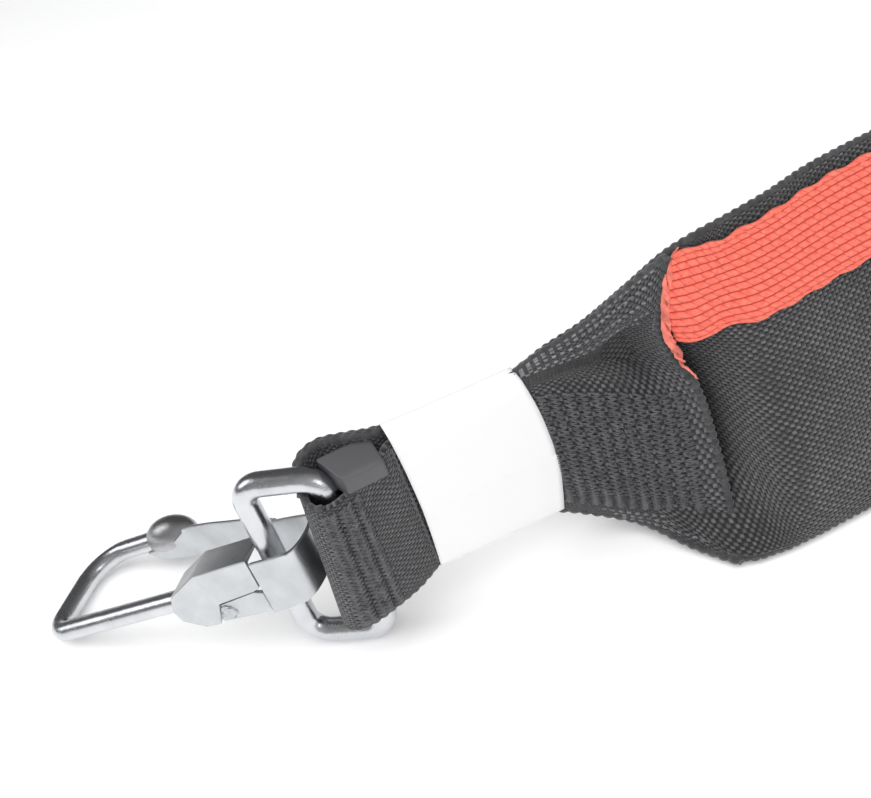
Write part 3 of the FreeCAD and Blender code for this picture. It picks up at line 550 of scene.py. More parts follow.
def loop_patch():
    """The loop's middle surface."""
    rows = []
    for share in (0.0, 0.33, 0.67, 1.0):
        rows.append([(x - lean * (1 - share), y, low + (high - low) * share)
                     for x, y, low, high, lean in LOOP])
    return Patch(rows, 0.8, 30)


def share_at_x(patch, x, near):
    """Share of the patch's length where its middle line passes x, on the near or the far half."""
    middle = patch.grid[:, patch.grid.shape[1] // 2, 0]
    turn = int(np.argmin(middle))
    half = range(0, turn) if near else range(turn, len(middle))
    best = min(half, key=lambda i: abs(middle[i] - x))
    return best / (len(middle) - 1)


def build_loop(settings):
    """Webbing folded round the bail's bar, with its turned edges and rows of stitches."""
    patch = loop_patch()
    # the net runs from the near ply to the far ply, so its normals point into the loop
    piece = cloth("loop_webbing", patch, WEB_WIDTH, WEB_THICK, MATERIALS["web"])
    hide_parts("hook_webbing")
    outside = patch.lift(1.0)
    near_side = np.mean(outside.grid[: len(outside.grid) // 3, :, 1]) < np.mean(
        patch.grid[: len(patch.grid) // 3, :, 1])
    outside = outside if near_side else patch.lift(-1.0)
    side = 1.0 if near_side else -1.0
    turned = share_at_x(patch, -143.5, True)
    # the edges stop under the paper band
    into, out = share_at_x(patch, -121.0, True), share_at_x(patch, -121.0, False)
    edges = [selvedge(patch.line(0.0, 0.45, into, out), 2.3),
             selvedge(patch.line(1.0, 0.45, turned, out), 2.5, 0.3),
             selvedge(patch.lift(0.6).line(0.995, 0.45, turned + 0.06, out), 2.5, 0.8),
             selvedge(patch.lift(-0.6).line(0.995, 0.45, turned + 0.06, out), 2.5, 0.55)]
    threads("loop_edges", edges, 0.85, MATERIALS["edge"], 2)
    rows = []
    for near in (True, False):
        for x in (-135.4, -137.5, -139.6, -141.6, -144.2):
            share = share_at_x(outside, x, near)
            top = 0.93 if near else 0.96
            rows.append(zigzag(outside, share, share, 0.05, top, 1.15, 2.0, 0.5 * side))
        share = share_at_x(outside, -123.6, near)
        rows.append(zigzag(outside, share, share, 0.05, 0.95, 1.6, 0.5, 0.25 * side))
    stitches = threads("loop_stitches", rows, 0.38, MATERIALS["black_thread"], 1)
    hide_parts("loop_stitching")


def build_liner(settings):
    """Glossy strip over the near ply's upper edge."""
    bm = bmesh.new()
    profile = ((25.0, 47.0), (24.2, 47.6), (23.9, 51.2), (24.4, 52.2), (25.6, 52.6), (33.4, 53.2), (34.6, 52.6),
               (34.8, 46.0))
    rings = []
    for x, shrink in ((-138.8, 0.35), (-138.4, 0.0), (-131.5, 0.0), (-126.6, 0.0), (-126.1, 0.35)):
        ring = []
        lean = (x + 131.5) * 0.16
        for y, z in profile:
            slant = max(0.0, 30.0 - y) * 0.5 if x < -131 else 0.0
            ring.append(bm.verts.new(Vector((x + slant, 28.6 + (y - 28.6) * (1 - shrink * 0.12) + lean * 0.4,
                                             48 + (z - 48) * (1 - shrink * 0.12) - lean * 0.35)) * MM))
        rings.append(ring)
    for first, second in zip(rings, rings[1:]):
        for i in range(len(profile)):
            j = (i + 1) % len(profile)
            bm.faces.new((first[i], first[j], second[j], second[i]))
    bm.faces.new(reversed(rings[0]))
    bm.faces.new(rings[-1])
    bmesh.ops.recalc_face_normals(bm, faces=bm.faces)
    obj = link("loop_liner_cover", mesh_of("loop_liner_cover", bm), MATERIALS["liner"])
    softened(obj, 0.5, 2)
    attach(obj, "harness")
    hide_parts("loop_liner")


# ---------------------------------------------------------------- paper band
def build_label(settings):
    """Plain paper band, a closed wrap with a small step in its border."""
    section = ((27.4, 12.9), (26.5, 14.2), (26.0, 24), (25.8, 29.4), (25.75, 30.2), (25.8, 33.6), (26.0, 43),
               (26.5, 50.6), (27.6, 52.6), (30.0, 53.3), (32.6, 52.3), (33.4, 43), (33.6, 33), (33.4, 24),
               (32.6, 13.6), (30.0, 12.3), (27.4, 12.9))
    columns = []
    for x, drop, bow, notch in ((-123.2, 2.1, 0.9, 0), (-115, 1.4, 1.3, 0), (-107, 0.9, 1.8, 0),
                                (-99, 0.5, 2.3, 0), (-91.4, 0.1, 2.7, 0.5)):
        column = []
        for y, z in section:
            step = notch if z < 30 else 0.0
            column.append((x + bow * math.sin(math.pi * (z - 12.3) / 42.9) + step, y, z + drop))
        columns.append(column)
    patch = Patch(np.asarray(columns).transpose(1, 0, 2), 1.2, 120)
    wrap = cloth("paper_wrap", patch, 100, PAPER_THICK, MATERIALS["paper"])
    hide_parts("label_band")


# ---------------------------------------------------------------- belt, with its end gathered behind the neck
BELT = (
    ((-92, 30.8, 13.6), (-92, 30.8, 23), (-92, 30.8, 33), (-92, 30.8, 42), (-92, 30.8, 51.4)),
    ((-84, 29.6, 9.0), (-84, 31, 19), (-84, 31, 31.5), (-84, 31, 44), (-83.6, 30.2, 54.6)),
    ((-74, 22.0, 4.4), (-74, 28, 15), (-74, 30, 31), (-74, 31, 47), (-73.2, 28.2, 57.6)),
    ((-67.6, 9.5, 1.6), (-66, 22, 14), (-65, 27, 32), (-65, 27, 52), (-64.4, 19.4, 67.2)),
    ((-62.0, -2.2, 1.2), (-56.5, 20.5, 18), (-56.5, 25.0, 38), (-59.0, 22, 57), (-57.6, 13.4, 74.2)),
    ((-54.4, -5.0, 1.0), (-52.0, 9.2, 20), (-52.4, 16.2, 39), (-53.0, 14.4, 58), (-51.6, 10.0, 77.4)),
    ((-47, -5.8, 1.0), (-46.6, -1.6, 20), (-45.8, 4.4, 39), (-46.0, 6.6, 59), (-45.6, 8.6, 78.6)),
    ((-36, -6.0, 1.0), (-36, -3.0, 20), (-35.6, 1.8, 39.5), (-35.4, 6.0, 59), (-35, 8.8, 79.2)),
    ((-20, -6.0, 1.0), (-20, -2.0, 20), (-20, 2.4, 39.5), (-20, 7.4, 59), (-20, 11.2, 79.4)),
    ((5, -5.0, 1.0), (5, -1.6, 20), (5, 2.4, 39.5), (5, 7.0, 59), (5, 11.0, 79.4)),
    ((40, -3.0, 1.0), (40, -1.0, 20), (40, 1.2, 40), (40, 3.6, 59.5), (40, 6.0, 79.4)),
    ((90, -0.6, 1.0), (90, 0, 20), (90, 0, 40), (90, 0.5, 60), (90, 1.0, 79.2)),
    ((150, 0, 1.0), (150, 0, 20), (150, 0, 40), (150, 0, 60), (150, 0, 79.2)),
    ((205, 0, 1.0), (205, 0, 20), (205, 0, 40), (205, 0, 60), (205, 0, 79.2)),
    ((250, 0, 1.0), (250, 0, 20), (250, 0, 40), (250, 0, 60), (250, 0, 79.2)),
)

# Front of the neck: the belt's edges folded in over the strap's sewn end; lower edge to upper edge.
NECK = (
    ((-94, 29.6, 13.6), (-86, 27.4, 9.4), (-75, 21, 3.6), (-68.4, 7.4, 1.4), (-63.0, -3.2, 1.2)),
    ((-94, 29.4, 16), (-86.6, 27.2, 12.4), (-75.4, 22, 6.2), (-67.4, 14, 4.2), (-59.6, 3.6, 3.6)),
    ((-94, 29.2, 20), (-87, 27.0, 17), (-75.4, 22.4, 11.6), (-66.4, 17.0, 9.2), (-58.2, 7.0, 12)),
    ((-94, 29.0, 33), (-87, 26.8, 31.6), (-75.2, 22.2, 27), (-65.6, 17.6, 24), (-57.2, 10.0, 26)),
    ((-94, 29.2, 46), (-87.2, 27.2, 46.6), (-74.6, 22.8, 42.4), (-64.8, 19.0, 38.4), (-57.8, 12.0, 41)),
    ((-94, 29.4, 49.4), (-87, 28.2, 49.4), (-74.4, 28.8, 46.4), (-65.2, 29.0, 45.4), (-60.0, 15.6, 48.6)),
    ((-94, 29.6, 51.0), (-86.4, 28.6, 51.8), (-74.2, 28.6, 50.4), (-65.6, 26.4, 53.6), (-61.6, 15.4, 56)),
    ((-94, 29.8, 51.2), (-86.0, 28.4, 53.2), (-74.0, 26.0, 54.2), (-65.6, 19.0, 60.6), (-60.6, 12.6, 65.4)),
    ((-94, 30.0, 51.8), (-85.6, 29.0, 54.6), (-73.4, 26.8, 58.0), (-64.6, 18.2, 67.8), (-57.6, 11.6, 74.8)),
)


def belt_patch():
    """The belt's front run."""
    return Patch(np.asarray(BELT, float).transpose(1, 0, 2), 0.9, 60)


def build_neck(settings):
    """Gathered cloth in front of the belt, with its edges, stitched panel and weft knots, whose lighter grey is
    partly painted sheen.
    """
    patch = Patch(NECK, 0.8, 64)
    piece = cloth("neck_front", patch, 88, NECK_THICK, MATERIALS["neck"])
    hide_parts("front_neck")
    edges = [selvedge(patch.line(0.0, 0.45), 2.8), selvedge(patch.line(1.0, 0.45), 3.3),
             selvedge(patch.lift(-0.6).line(0.99, 0.45), 3.3, 0.4)]
    mouth = [patch.at(1.0, share)[0] for share in np.linspace(0, 1, 140)]
    edges.append(selvedge(even(mouth, 0.5), 2.0))
    threads("neck_edges", edges, 1.05, MATERIALS["edge"], 2)
    rows = []
    outward = 1.0 if patch.at(0.3, 0.3)[1][1] < 0 else -1.0
    outside = patch.lift(outward * 0.95)
    for i in range(11):
        share = 0.13 + i * 0.074
        rows.append(zigzag(outside, share, share + 0.02, 0.19, 0.5, 1.1, 2.3, outward * 0.5))
    stitches = threads("neck_stitches", rows, 0.27, MATERIALS["black_thread"], 1)
    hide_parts("neck_stitching")
    # rows of weft knots in a lighter grey, partly painted sheen
    dots = []
    for low, start, end in ((0.80, 0.06, 0.93), (0.85, 0.04, 0.95), (0.90, 0.04, 0.96), (0.945, 0.04, 0.96),
                            (0.985, 0.04, 0.96), (0.05, 0.40, 0.90), (0.09, 0.36, 0.84), (0.13, 0.30, 0.76)):
        line = outside.line(low, 0.5, start, end)
        dots += [line[i:i + 3] for i in range(0, len(line) - 3, 4)]
    threads("neck_weft", dots, 0.3, MATERIALS["knots"], 1)


def build_belt(settings):
    """The belt's front run with its edges, its far bend and its rear run."""
    patch = belt_patch()
    piece = cloth("belt_front", patch, BELT_CUT, BELT_THICK, MATERIALS["belt"])
    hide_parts("belt_front_run")
    edges = [selvedge(patch.line(0.0, 0.5), 2.0), selvedge(patch.line(1.0, 0.5), 2.0, 0.3)]
    threads("belt_edges", edges, 1.0, MATERIALS["edge"], 2)
    turns = [math.pi * i / BEND_STEPS for i in range(BEND_STEPS + 1)]
    net = [[(BEND_X + BEND_Y * math.sin(turn), BEND_Y - BEND_Y * math.cos(turn), z) for turn in turns]
           for z in np.linspace(BELT_LOW, BELT_HIGH, 4)]
    bend = cloth("belt_far_bend", Patch(net, 1.0, 40), BELT_CUT, BELT_THICK, MATERIALS["belt"])
    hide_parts("belt_bend")
    net = [[(x, 2 * BEND_Y, z) for x in (BEND_X, 232, 214, 195)] for z in (BELT_LOW, 27, 53, BELT_HIGH)]
    rear = cloth("belt_rear", Patch(net, 1.2, 40), BELT_CUT, BELT_THICK, MATERIALS["belt"])
    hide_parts("belt_rear_run")


def stripe_grid(settings, patch):
    """The stripe's middle surface over the belt, from near the neck's mouth to the belt's end."""
    low = (settings.belt_width - settings.stripe_margin - settings.stripe_width) / settings.belt_width
    high = (settings.belt_width - settings.stripe_margin) / settings.belt_width
    places = patch.grid[:, patch.grid.shape[1] // 2, 0]
    start = int(np.argmin(np.abs(places + 56.0))) / (len(places) - 1)
    return patch.part(start, 1.0, low, high, 7)


def ribs(patch, settings):
    """Swells a stripe patch into ribs, with scalloped edges."""
    per_rib = 6
    count = int(settings.rib_count) * per_rib + 1
    rows = np.linspace(0, patch.grid.shape[1] - 1, count)
    grid = np.stack([catmull(column, rows) for column in patch.grid])
    fine = Patch.__new__(Patch)
    fine.grid, fine.length = grid, patch.length
    fine.normals()
    share = np.arange(count) / per_rib
    profile = np.sqrt(np.abs(np.sin(math.pi * share))) * 0.45
    run = np.linspace(0, patch.length, len(grid))
    wave = np.sin(2 * math.pi * run / 8.0) * 0.35
    across = np.gradient(fine.grid, axis=1)
    across /= np.maximum(np.linalg.norm(across, axis=2, keepdims=True), 1e-9)
    edge = np.zeros(count)
    edge[:per_rib] = np.linspace(1, 0, per_rib)
    fine.grid = fine.grid - across * (edge[None, :, None] * (wave[:, None, None] - 0.2))
    edge = edge[::-1]
    fine.grid = fine.grid + across * (edge[None, :, None] * (wave[:, None, None] - 0.2))
    return fine, profile


def build_stripe(settings):
    """Ribbed stripe along the belt, its sewn rows and its frayed end."""
    belt = belt_patch()
    base = stripe_grid(settings, belt)
    toward = -1.0 if belt.at(0.5, 0.5)[1][1] > 0 else 1.0
    lifted = base.lift(toward * 2.1)
    # the cut end is drawn up to the neck's mouth, where the belt itself dives behind it
    pull = (((-59.6, 11.8, 54.6), (-60.6, 11.4, 65.2), (-56.6, 10.6, 75.4)),
            ((-55.6, 8.6, 54.0), (-55.8, 8.8, 65.2), (-52.4, 8.6, 76.2)))
    columns = [list(row) for row in pull]
    middle = lifted.grid[:, 3, 0]
    for x in (-50.0, -44.0, -36.0, -28.0, -18.0, -6.0, 10.0, 30.0, 55.0, 90.0, 130.0, 180.0, 225.0, 250.0):
        i = int(np.argmin(np.abs(middle - x)))
        columns.append([tuple(lifted.grid[i, 0]), tuple(lifted.grid[i, 3]), tuple(lifted.grid[i, 6])])
    for i in range(1, BEND_STEPS + 1):
        turn = math.pi * i / BEND_STEPS
        x = BEND_X + STRIPE_BEND_RADIUS * math.sin(turn)
        y = BEND_Y - STRIPE_BEND_RADIUS * math.cos(turn)
        columns.append([(x, y, z) for z in STRIPE_HEIGHTS])
    for x in (232, 214, 196):
        columns.append([(x, STRIPE_REAR_Y, z) for z in STRIPE_HEIGHTS])
    patch = Patch(np.asarray(columns, float).transpose(1, 0, 2), 0.85, 13)
    fine, profile = ribs(patch, settings)
    outward = -1.0 if fine.at(0.1, 0.5)[1][1] > 0 else 1.0
    fine.grid = fine.grid + fine.normal * (outward * profile[None, :, None])
    piece = cloth("coral_stripe", fine, settings.stripe_width / MM, STRIPE_THICK, MATERIALS["stripe"])
    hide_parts("stripe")
    sewn = []
    for share in (0.075, 0.925):
        sewn.append([place + np.array((0.0, -0.45 if i % 2 else 0.05, 0.0))
                     for i, place in enumerate(fine.line(share, 1.4))])
    stitches = threads("stripe_stitches", sewn, 0.14, MATERIALS["orange_thread"], 1)
    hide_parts("stripe_stitching")
    # frayed end along the neck's mouth
    rng = random.Random(4)
    spine = catmull([(-55.4, 10.6, 76.2), (-58.8, 10.6, 70.8), (-60.6, 10.8, 65.0), (-61.6, 11.4, 58.0),
                     (-60.8, 11.2, 53.2), (-59.4, 10.8, 48.6), (-58.2, 10.2, 43.2)], np.linspace(0, 6, 60))
    strands = []
    for k in range(9):
        start = rng.randint(0, 16)
        end = rng.randint(42, 59) if k < 5 else rng.randint(26, 44)
        sway = rng.random() * 6.28
        points = []
        for i in range(start, end):
            turn = i * 0.42 + sway
            spread = 0.55 + 0.25 * rng.random()
            points.append(spine[i] + np.array((math.cos(turn) * spread, math.sin(turn) * spread * 0.7,
                                               0.25 * math.sin(turn * 1.7))))
        last = max(1, len(points) - 1)
        radii = [0.55 + 0.45 * math.sin(math.pi * j / last) for j in range(len(points))]
        strands.append((points, radii))
    threads("stripe_fray", strands, 0.42, MATERIALS["orange_thread"], 1)


# ---------------------------------------------------------------- rear run
def flat_cloth(name, x_from, x_to, y, node):
    """A flat run of the rear webbing, and its two edge lines."""
    low, high = 12.6, 51.4
    steps = np.linspace(x_from, x_to, 6)
    net = [[(x, y, z) for x in steps] for z in np.linspace(low, high, 4)]
    patch = Patch(net, 1.3, 24)
    obj = cloth(name, patch, high - low, REAR_WEB_THICK, MATERIALS["web"])
    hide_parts(node)
    return [selvedge(patch.line(share, 0.6), 2.3) for share in (0.0, 1.0)]


def build_rear(settings):
    """Adjusting webbing, its tail and hem, and the rear neck."""
    edges = flat_cloth("adjusting_webbing", -89, 164, 33.0, "adjust_web")
    edges += flat_cloth("webbing_tail", 34, 118, 35.0, "web_tail")
    edges += flat_cloth("tail_fold", 106, 118, 37.0, "tail_hem")
    net = []
    for share in (0.0, 0.25, 0.5, 0.75, 1.0):
        row = []
        for x, low, high, y in ((162, 12.6, 51.4, 34.6), (172, 12.0, 52.0, 34.6), (182, 6.0, 64.0, 33.9),
                                (190, 2.0, 75.0, 33.2), (197, 1.0, 79.0, 33.0)):
            fold = 0.8 * math.sin(share * 3 * math.pi) * (high - low < 60)
            row.append((x, y + fold, low + (high - low) * share))
        net.append(row)
    patch = Patch(net, 0.9, 48)
    neck = cloth("rear_neck_cloth", patch, BELT_CUT, REAR_NECK_THICK, MATERIALS["neck"])
    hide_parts("rear_neck")
    edges += [selvedge(patch.line(share, 0.5), 2.4) for share in (0.0, 1.0)]
    outward = 1.0 if patch.at(0.2, 0.5)[1][1] > 0 else -1.0
    rows = [zigzag(patch.lift(outward), share, share, 0.06, 0.94, 1.2, 1.4, outward * 0.4)
            for share in (0.06 + 0.085 * i for i in range(4))]
    stitches = threads("rear_neck_stitches", rows, 0.3, MATERIALS["black_thread"], 1)
    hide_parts("rear_neck_stitching")
    threads("rear_edges", edges, 0.95, MATERIALS["edge"], 1)


# ---------------------------------------------------------------- hook, in its own frame
def hook_place():
    """The hook's frame: the eye's axis is the origin, the hook points to -X, and its wide side is level."""
    return (Matrix.Translation(Vector((-156.69, 41.17, 24.0)) * MM)
            @ Matrix.Rotation(math.radians(-37.0), 4, "Z") @ Matrix.Rotation(math.radians(-15.2), 4, "Y"))


def sheet_metal(name, bm, body, nodes, thick=1.1, soft=0.35):
    """Finish a bmesh of sheet-metal faces: thickness, softened edges and its body."""
    bmesh.ops.recalc_face_normals(bm, faces=bm.faces)
    bm.transform(hook_place())
    obj = link(name, mesh_of(name, bm), MATERIALS["sheet"])
    if thick:
        solid = obj.modifiers.new("thickness", "SOLIDIFY")
        solid.thickness = thick * MM
        solid.offset = 0.0
        solid.use_even_offset = True
    bevel = softened(obj, soft, 3)
    bevel.limit_method = "ANGLE"
    bevel.angle_limit = math.radians(35)
    bevel.harden_normals = True
    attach(obj, body)
    if nodes:
        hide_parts(*nodes)


def strip(path, shear=0.0, low=-7.0, high=7.0):
    """An upright strip along a plan path of (x, y) or (x, y, low, high)."""
    bm = bmesh.new()
    before = None
    for point in path:
        x, y = point[:2]
        bottom, top = point[2:] if len(point) == 4 else (low, high)
        pair = [bm.verts.new(Vector((x + shear * z, y, z)) * MM) for z in (bottom, top)]
        if before:
            bm.faces.new((before[0], pair[0], pair[1], before[1]))
        before = pair
    return bm


def build_hook(settings):
    """Stamped body, eye band, gate and the rod's domed head."""
    bm = bmesh.new()
    outline = ((-1.8, 8.9), (-18.7, 8.8), (-29.6, 4.5), (-32.2, 0.4), (-32.4, -3.2), (-27.2, -6.7), (-22.6, -6.9),
               (-18.4, -0.9), (-6.4, 0.2), (-4.0, 0.8))
    front = [bm.verts.new(Vector((x, -5.0, z)) * MM) for x, z in outline]
    bm.faces.new(front)
    # the upper edges are folded back over the rod
    rear = [bm.verts.new(Vector((x, depth, z)) * MM)
            for (x, z), depth in zip(outline, (3.4, 3.4, 3.4, -0.5))]
    for i in (0, 1, 2):
        bm.faces.new((front[i], front[i + 1], rear[i + 1], rear[i]))
    sheet_metal("hook_plate", bm, "hook", ("hook_body",))
    bm = bmesh.new()
    tongue = ((-22.0, -7.1), (-22.6, -3.6), (-21.2, -1.9), (-18.2, -1.6), (-7.4, -0.5), (-5.0, -1.4), (-6.6, -7.6))
    bm.faces.new([bm.verts.new(Vector((x, -4.1, z)) * MM) for x, z in tongue])
    sheet_metal("band_tail", bm, "hook", ())
    # stamped hollow, pushed into the tail
    bm = bmesh.new()
    bmesh.ops.create_icosphere(bm, subdivisions=3, radius=1.0)
    rng = random.Random(9)
    for vert in bm.verts:
        vert.co = Vector((vert.co.x * 2.7 - 18.4, vert.co.y * 0.55 - 4.6, vert.co.z * 2.2 - 4.4))
        vert.co += Vector((rng.uniform(-0.2, 0.2), rng.uniform(-0.2, 0.2), rng.uniform(-0.2, 0.2)))
        vert.co *= MM
    sheet_metal("staked_mark", bm, "hook", ("body_rivet",), 0.0, 0.05)
    band = [(-3.7, -5.0, -7.6, 8.2), (3.0, -5.0, -7.2, 8.2), (7.0, -4.9, -6.6, 8.2)]
    for i in range(1, 12):
        turn = math.pi * i / 12
        band.append((6.6 + 3.4 * math.sin(turn), 2.3 - 7.2 * math.cos(turn), -6.4 + 0.1 * i, 8.1 - 0.12 * i))
    band += [(3.0, 10.2, -5.0, 6.6), (-2.0, 11.4, -4.8, 6.2), (-7.0, 12.4, -4.6, 5.8)]
    sheet_metal("eye_strap", strip(band, 0.25), "hook", ("eye_band", "gate_pin"))
    gate = [(-5.0, 14.0, -4.2, 5.0), (-9.0, 16.2, -4.0, 4.2), (-17.0, 19.2, -3.8, 3.6),
            (-26.0, 21.0, -4.2, 3.8), (-33.0, 22.4, -5.6, 4.0), (-39.0, 23.4, -6.5, 4.0),
            (-43.8, 24.2, -6.5, 3.7), (-45.0, 24.4, -6.4, 2.4), (-50.0, 24.6, -6.0, 0.2),
            (-56.0, 25.0, -5.2, -0.8), (-60.0, 25.6, -4.2, -1.4), (-63.0, 26.2, -2.8, -2.0)]
    sheet_metal("gate_channel", strip(gate), "hook_gate", ("gate", "gate_spring"), 1.0)
    bm = bmesh.new()
    bmesh.ops.create_uvsphere(bm, u_segments=40, v_segments=24, radius=1.0)
    for vert in bm.verts:
        rise = 6.0 if vert.co.z > 0 else 2.8
        vert.co = Vector((vert.co.x * 8.8 - 53.6, vert.co.y * 5.2 + 28.8, vert.co.z * rise - 0.8)) * MM
    bm.transform(hook_place())
    head = link("rod_head", mesh_of("rod_head", bm), MATERIALS["head"])
    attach(head, "hook")


# ---------------------------------------------------------------- metal and plastic
def cad_object(node):
    """The CAD node's own object."""
    return next(o for o in bpy.data.objects if o.get("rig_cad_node") == node)


def finish_nodes(settings):
    """Finishes for the parts whose CAD shape is shown as it is."""
    for node, key, slot in (("bail", "wire", "zinc_steel"), ("hook_rod", "wire", "zinc_steel"),
                            ("adjuster_frame", "plastic", "black_plastic"),
                            ("adjuster_bar", "plastic", "black_plastic"),
                            ("web_keeper", "plastic", "black_plastic")):
        obj = cad_object(node)
        obj.data.materials.clear()
        obj.data.materials.append(MATERIALS[key])


# ---------------------------------------------------------------- stage
CAMERA_PLACE = (-0.14734, -0.18770, 0.20674)
LIT_PLACE = Vector((-0.08, 0.03, 0.03))


def build_stage(settings):
    """White floor, soft light and the camera."""
    scene = bpy.context.scene
    scene.view_settings.view_transform = "Standard"
    bm = bmesh.new()
    bmesh.ops.create_grid(bm, x_segments=1, y_segments=1, size=settings.floor_size)
    white = plain("white_floor", (0.93, 0.93, 0.935, 1), 0.55)
    glow = white.node_tree.nodes["Principled BSDF"]
    glow.inputs["Emission Color"].default_value = (1.0, 1.0, 1.0, 1.0)
    glow.inputs["Emission Strength"].default_value = 0.12
    white.cycles.emission_sampling = "NONE"
    floor = link("floor", mesh_of("floor", bm), white)
    floor.location = (1.5, 0.0, -0.0008)
    for name, place, size, power, colour in (
            ("top_softbox", (-0.35, -0.45, 1.6), (3.2, 3.2), 58.0, (1.0, 1.0, 1.0)),
            ("left_softbox", (-1.2, 0.5, 0.8), (0.6, 0.9), 3.6, (0.97, 0.985, 1.0)),
            ("front_softbox", (0.4, -1.4, 1.0), (0.9, 0.5), 3.2, (1.0, 0.99, 0.97))):
        light = bpy.data.lights.new(name, "AREA")
        light.shape = "RECTANGLE"
        light.size, light.size_y = size
        light.energy = power
        light.color = colour
        lamp = bpy.data.objects.new(name, light)
        scene.collection.objects.link(lamp)
        lamp.location = place
        lamp.rotation_euler = (LIT_PLACE - Vector(place)).to_track_quat("-Z", "Y").to_euler()
        # the overhead light shows no reflection, so bright metal keeps a dark upper side
        lamp.visible_glossy = name != "top_softbox"
    world = bpy.data.worlds.new("studio")
    world.use_nodes = True
    scene.world = world
    g = Graph(world.node_tree)
    background = world.node_tree.nodes["Background"]
    direction = g.node("ShaderNodeSeparateXYZ")
    g.put(g.node("ShaderNodeTexCoord").outputs["Generated"], direction.inputs[0])
    upward = g.math("MULTIPLY", direction.outputs[2], -0.1)
    facing = g.math("SUBTRACT", upward, direction.outputs[1])
    grey = g.span(facing, -0.3, 1.2, 0.11, 0.6)
    g.put(grey, background.inputs["Strength"])
    g.put((1.0, 1.0, 1.0, 1.0), background.inputs["Color"])
    camera = bpy.data.cameras.new("camera")
    camera.sensor_width = 36.0
    camera.lens = settings.lens
    camera.clip_start = 0.01
    eye = bpy.data.objects.new("camera", camera)
    scene.collection.objects.link(eye)
    azimuth, height, roll = settings.azimuth, settings.elevation, settings.roll
    level = math.cos(height)
    back = Vector((math.sin(azimuth) * level, -math.cos(azimuth) * level, math.sin(height)))
    right = Vector((math.cos(azimuth), math.sin(azimuth), 0))
    up = back.cross(right)
    across = right * math.cos(roll) + up * math.sin(roll)
    rise = up * math.cos(roll) - right * math.sin(roll)
    eye.matrix_world = Matrix.Translation(CAMERA_PLACE) @ Matrix(
        (across, rise, back)).transposed().to_4x4()
    scene.camera = eye


# ---------------------------------------------------------------- add-on
class HarnessSettings(bpy.types.PropertyGroup):
    """Sizes, colours and view that a user may change before building."""

    belt_width: bpy.props.FloatProperty(
        name="Belt width", description="Width of the shoulder belt", default=0.080, unit="LENGTH")
    stripe_width: bpy.props.FloatProperty(
        name="Stripe width", description="Width of the coral stripe", default=0.020, unit="LENGTH")
    stripe_margin: bpy.props.FloatProperty(
        name="Belt above the stripe", description="Belt left free above the stripe",
        default=0.0035, unit="LENGTH")
    rib_count: bpy.props.IntProperty(
        name="Ribs", description="Ribs across the stripe", default=13)
    stripe_deep: bpy.props.FloatVectorProperty(
        name="Deep coral", description="Darker yarn of the stripe", subtype="COLOR", size=4,
        default=(0.80, 0.105, 0.065, 1.0))
    stripe_bright: bpy.props.FloatVectorProperty(
        name="Bright coral", description="Lighter yarn of the stripe", subtype="COLOR", size=4,
        default=(0.98, 0.20, 0.135, 1.0))
    paper: bpy.props.FloatVectorProperty(
        name="Paper", description="Colour of the paper band", subtype="COLOR", size=4,
        default=(0.80, 0.80, 0.805, 1.0))
    floor_size: bpy.props.FloatProperty(
        name="Floor", description="Half the side of the floor", default=4.0, unit="LENGTH")
    lens: bpy.props.FloatProperty(
        name="Lens", description="Focal length of the camera", default=50.55, unit="CAMERA")
    azimuth: bpy.props.FloatProperty(
        name="Azimuth", description="Camera's turn round the harness",
        default=math.radians(-9.8), subtype="ANGLE")
    elevation: bpy.props.FloatProperty(
        name="Elevation", description="Camera's height", default=math.radians(34.3), subtype="ANGLE")
    roll: bpy.props.FloatProperty(
        name="Roll", description="Camera's roll", default=math.radians(-20.9), subtype="ANGLE")


class HARNESS_OT_materials(bpy.types.Operator):
    """Make every finish"""

    bl_idname = "harness.materials"
    bl_label = "Materials"

    def execute(self, context):
        make_materials(context.scene.harness_settings)
        return {"FINISHED"}


class HARNESS_OT_loop(bpy.types.Operator):
    """Webbing folded round the bail, with its edges and stitches"""

    bl_idname = "harness.loop"
    bl_label = "Loop"

    def execute(self, context):
        build_loop(context.scene.harness_settings)
        return {"FINISHED"}


class HARNESS_OT_liner(bpy.types.Operator):
    """Glossy strip in the loop"""

    bl_idname = "harness.liner"
    bl_label = "Liner"

    def execute(self, context):
        build_liner(context.scene.harness_settings)
        return {"FINISHED"}


class HARNESS_OT_label(bpy.types.Operator):
    """Plain paper band on the strap"""

    bl_idname = "harness.label"
    bl_label = "Paper band"

    def execute(self, context):
        build_label(context.scene.harness_settings)
        return {"FINISHED"}


class HARNESS_OT_neck(bpy.types.Operator):
    """Gathered front end of the belt"""

    bl_idname = "harness.neck"
    bl_label = "Neck"

    def execute(self, context):
        build_neck(context.scene.harness_settings)
        return {"FINISHED"}


class HARNESS_OT_belt(bpy.types.Operator):
    """Shoulder belt, its bend and its rear run"""

    bl_idname = "harness.belt"
    bl_label = "Belt"

    def execute(self, context):
        build_belt(context.scene.harness_settings)
        return {"FINISHED"}


class HARNESS_OT_stripe(bpy.types.Operator):
    """Ribbed coral stripe and its frayed end"""

    bl_idname = "harness.stripe"
    bl_label = "Stripe"

    def execute(self, context):
        build_stripe(context.scene.harness_settings)
        return {"FINISHED"}


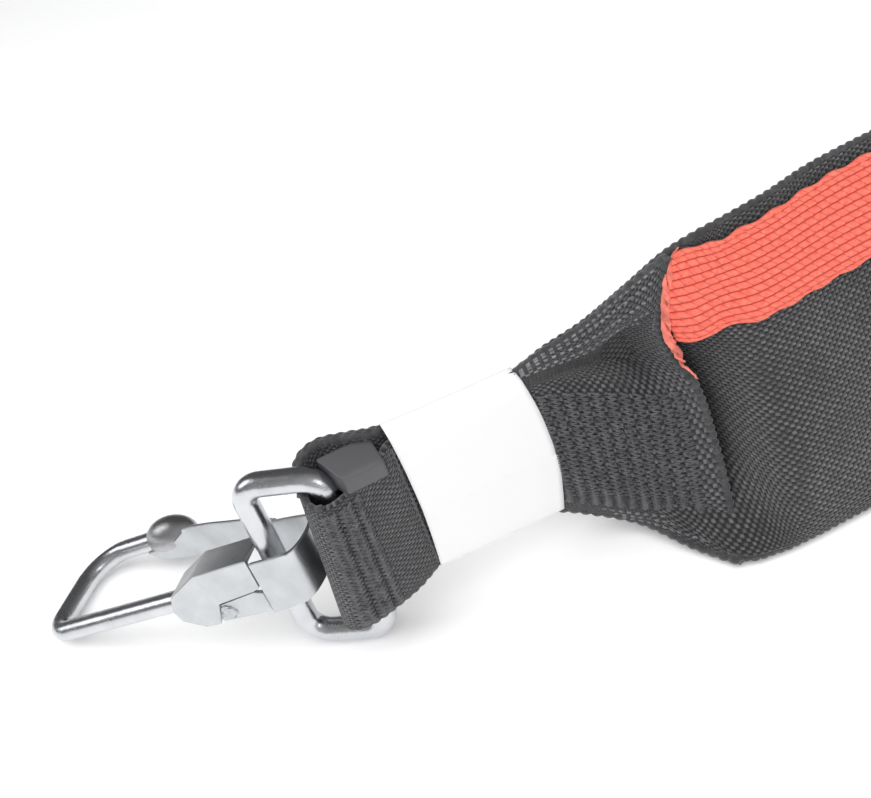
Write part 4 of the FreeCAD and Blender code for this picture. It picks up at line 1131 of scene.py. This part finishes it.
class HARNESS_OT_rear(bpy.types.Operator):
    """Adjusting webbing, tail, hem and rear neck"""

    bl_idname = "harness.rear"
    bl_label = "Rear run"

    def execute(self, context):
        build_rear(context.scene.harness_settings)
        return {"FINISHED"}


class HARNESS_OT_hook(bpy.types.Operator):
    """Stamped body, eye band, gate and domed head"""

    bl_idname = "harness.hook"
    bl_label = "Hook"

    def execute(self, context):
        build_hook(context.scene.harness_settings)
        return {"FINISHED"}


class HARNESS_OT_finishes(bpy.types.Operator):
    """Metal and plastic finishes on the parts shown as they are"""

    bl_idname = "harness.finishes"
    bl_label = "Finishes"

    def execute(self, context):
        finish_nodes(context.scene.harness_settings)
        return {"FINISHED"}


class HARNESS_OT_stage(bpy.types.Operator):
    """Floor, lights and camera"""

    bl_idname = "harness.stage"
    bl_label = "Stage"

    def execute(self, context):
        build_stage(context.scene.harness_settings)
        return {"FINISHED"}


class HARNESS_PT_panel(bpy.types.Panel):
    """Buttons that build each part of the harness end."""

    bl_label = "Harness end"
    bl_space_type = "VIEW_3D"
    bl_region_type = "UI"
    bl_category = "Harness"

    def draw(self, context):
        for step in STEPS:
            self.layout.operator("harness." + step)


# the operators, in the order in which they are called
STEPS = ("materials", "loop", "liner", "label", "neck", "belt", "stripe", "rear", "hook", "finishes", "stage")
CLASSES = (HarnessSettings, HARNESS_OT_materials, HARNESS_OT_loop, HARNESS_OT_liner, HARNESS_OT_label,
           HARNESS_OT_neck, HARNESS_OT_belt, HARNESS_OT_stripe, HARNESS_OT_rear,
           HARNESS_OT_hook, HARNESS_OT_finishes, HARNESS_OT_stage, HARNESS_PT_panel)


def register():
    """Add the settings, the operators and the panel."""
    for cls in CLASSES:
        bpy.utils.register_class(cls)
    bpy.types.Scene.harness_settings = bpy.props.PointerProperty(type=HarnessSettings)


def unregister():
    """Take them away again."""
    del bpy.types.Scene.harness_settings
    for cls in reversed(CLASSES):
        bpy.utils.unregister_class(cls)


def main():
    """Build every piece in order."""
    register()
    for step in STEPS:
        getattr(bpy.ops.harness, step)()


if __name__ == "__main__":
    main()
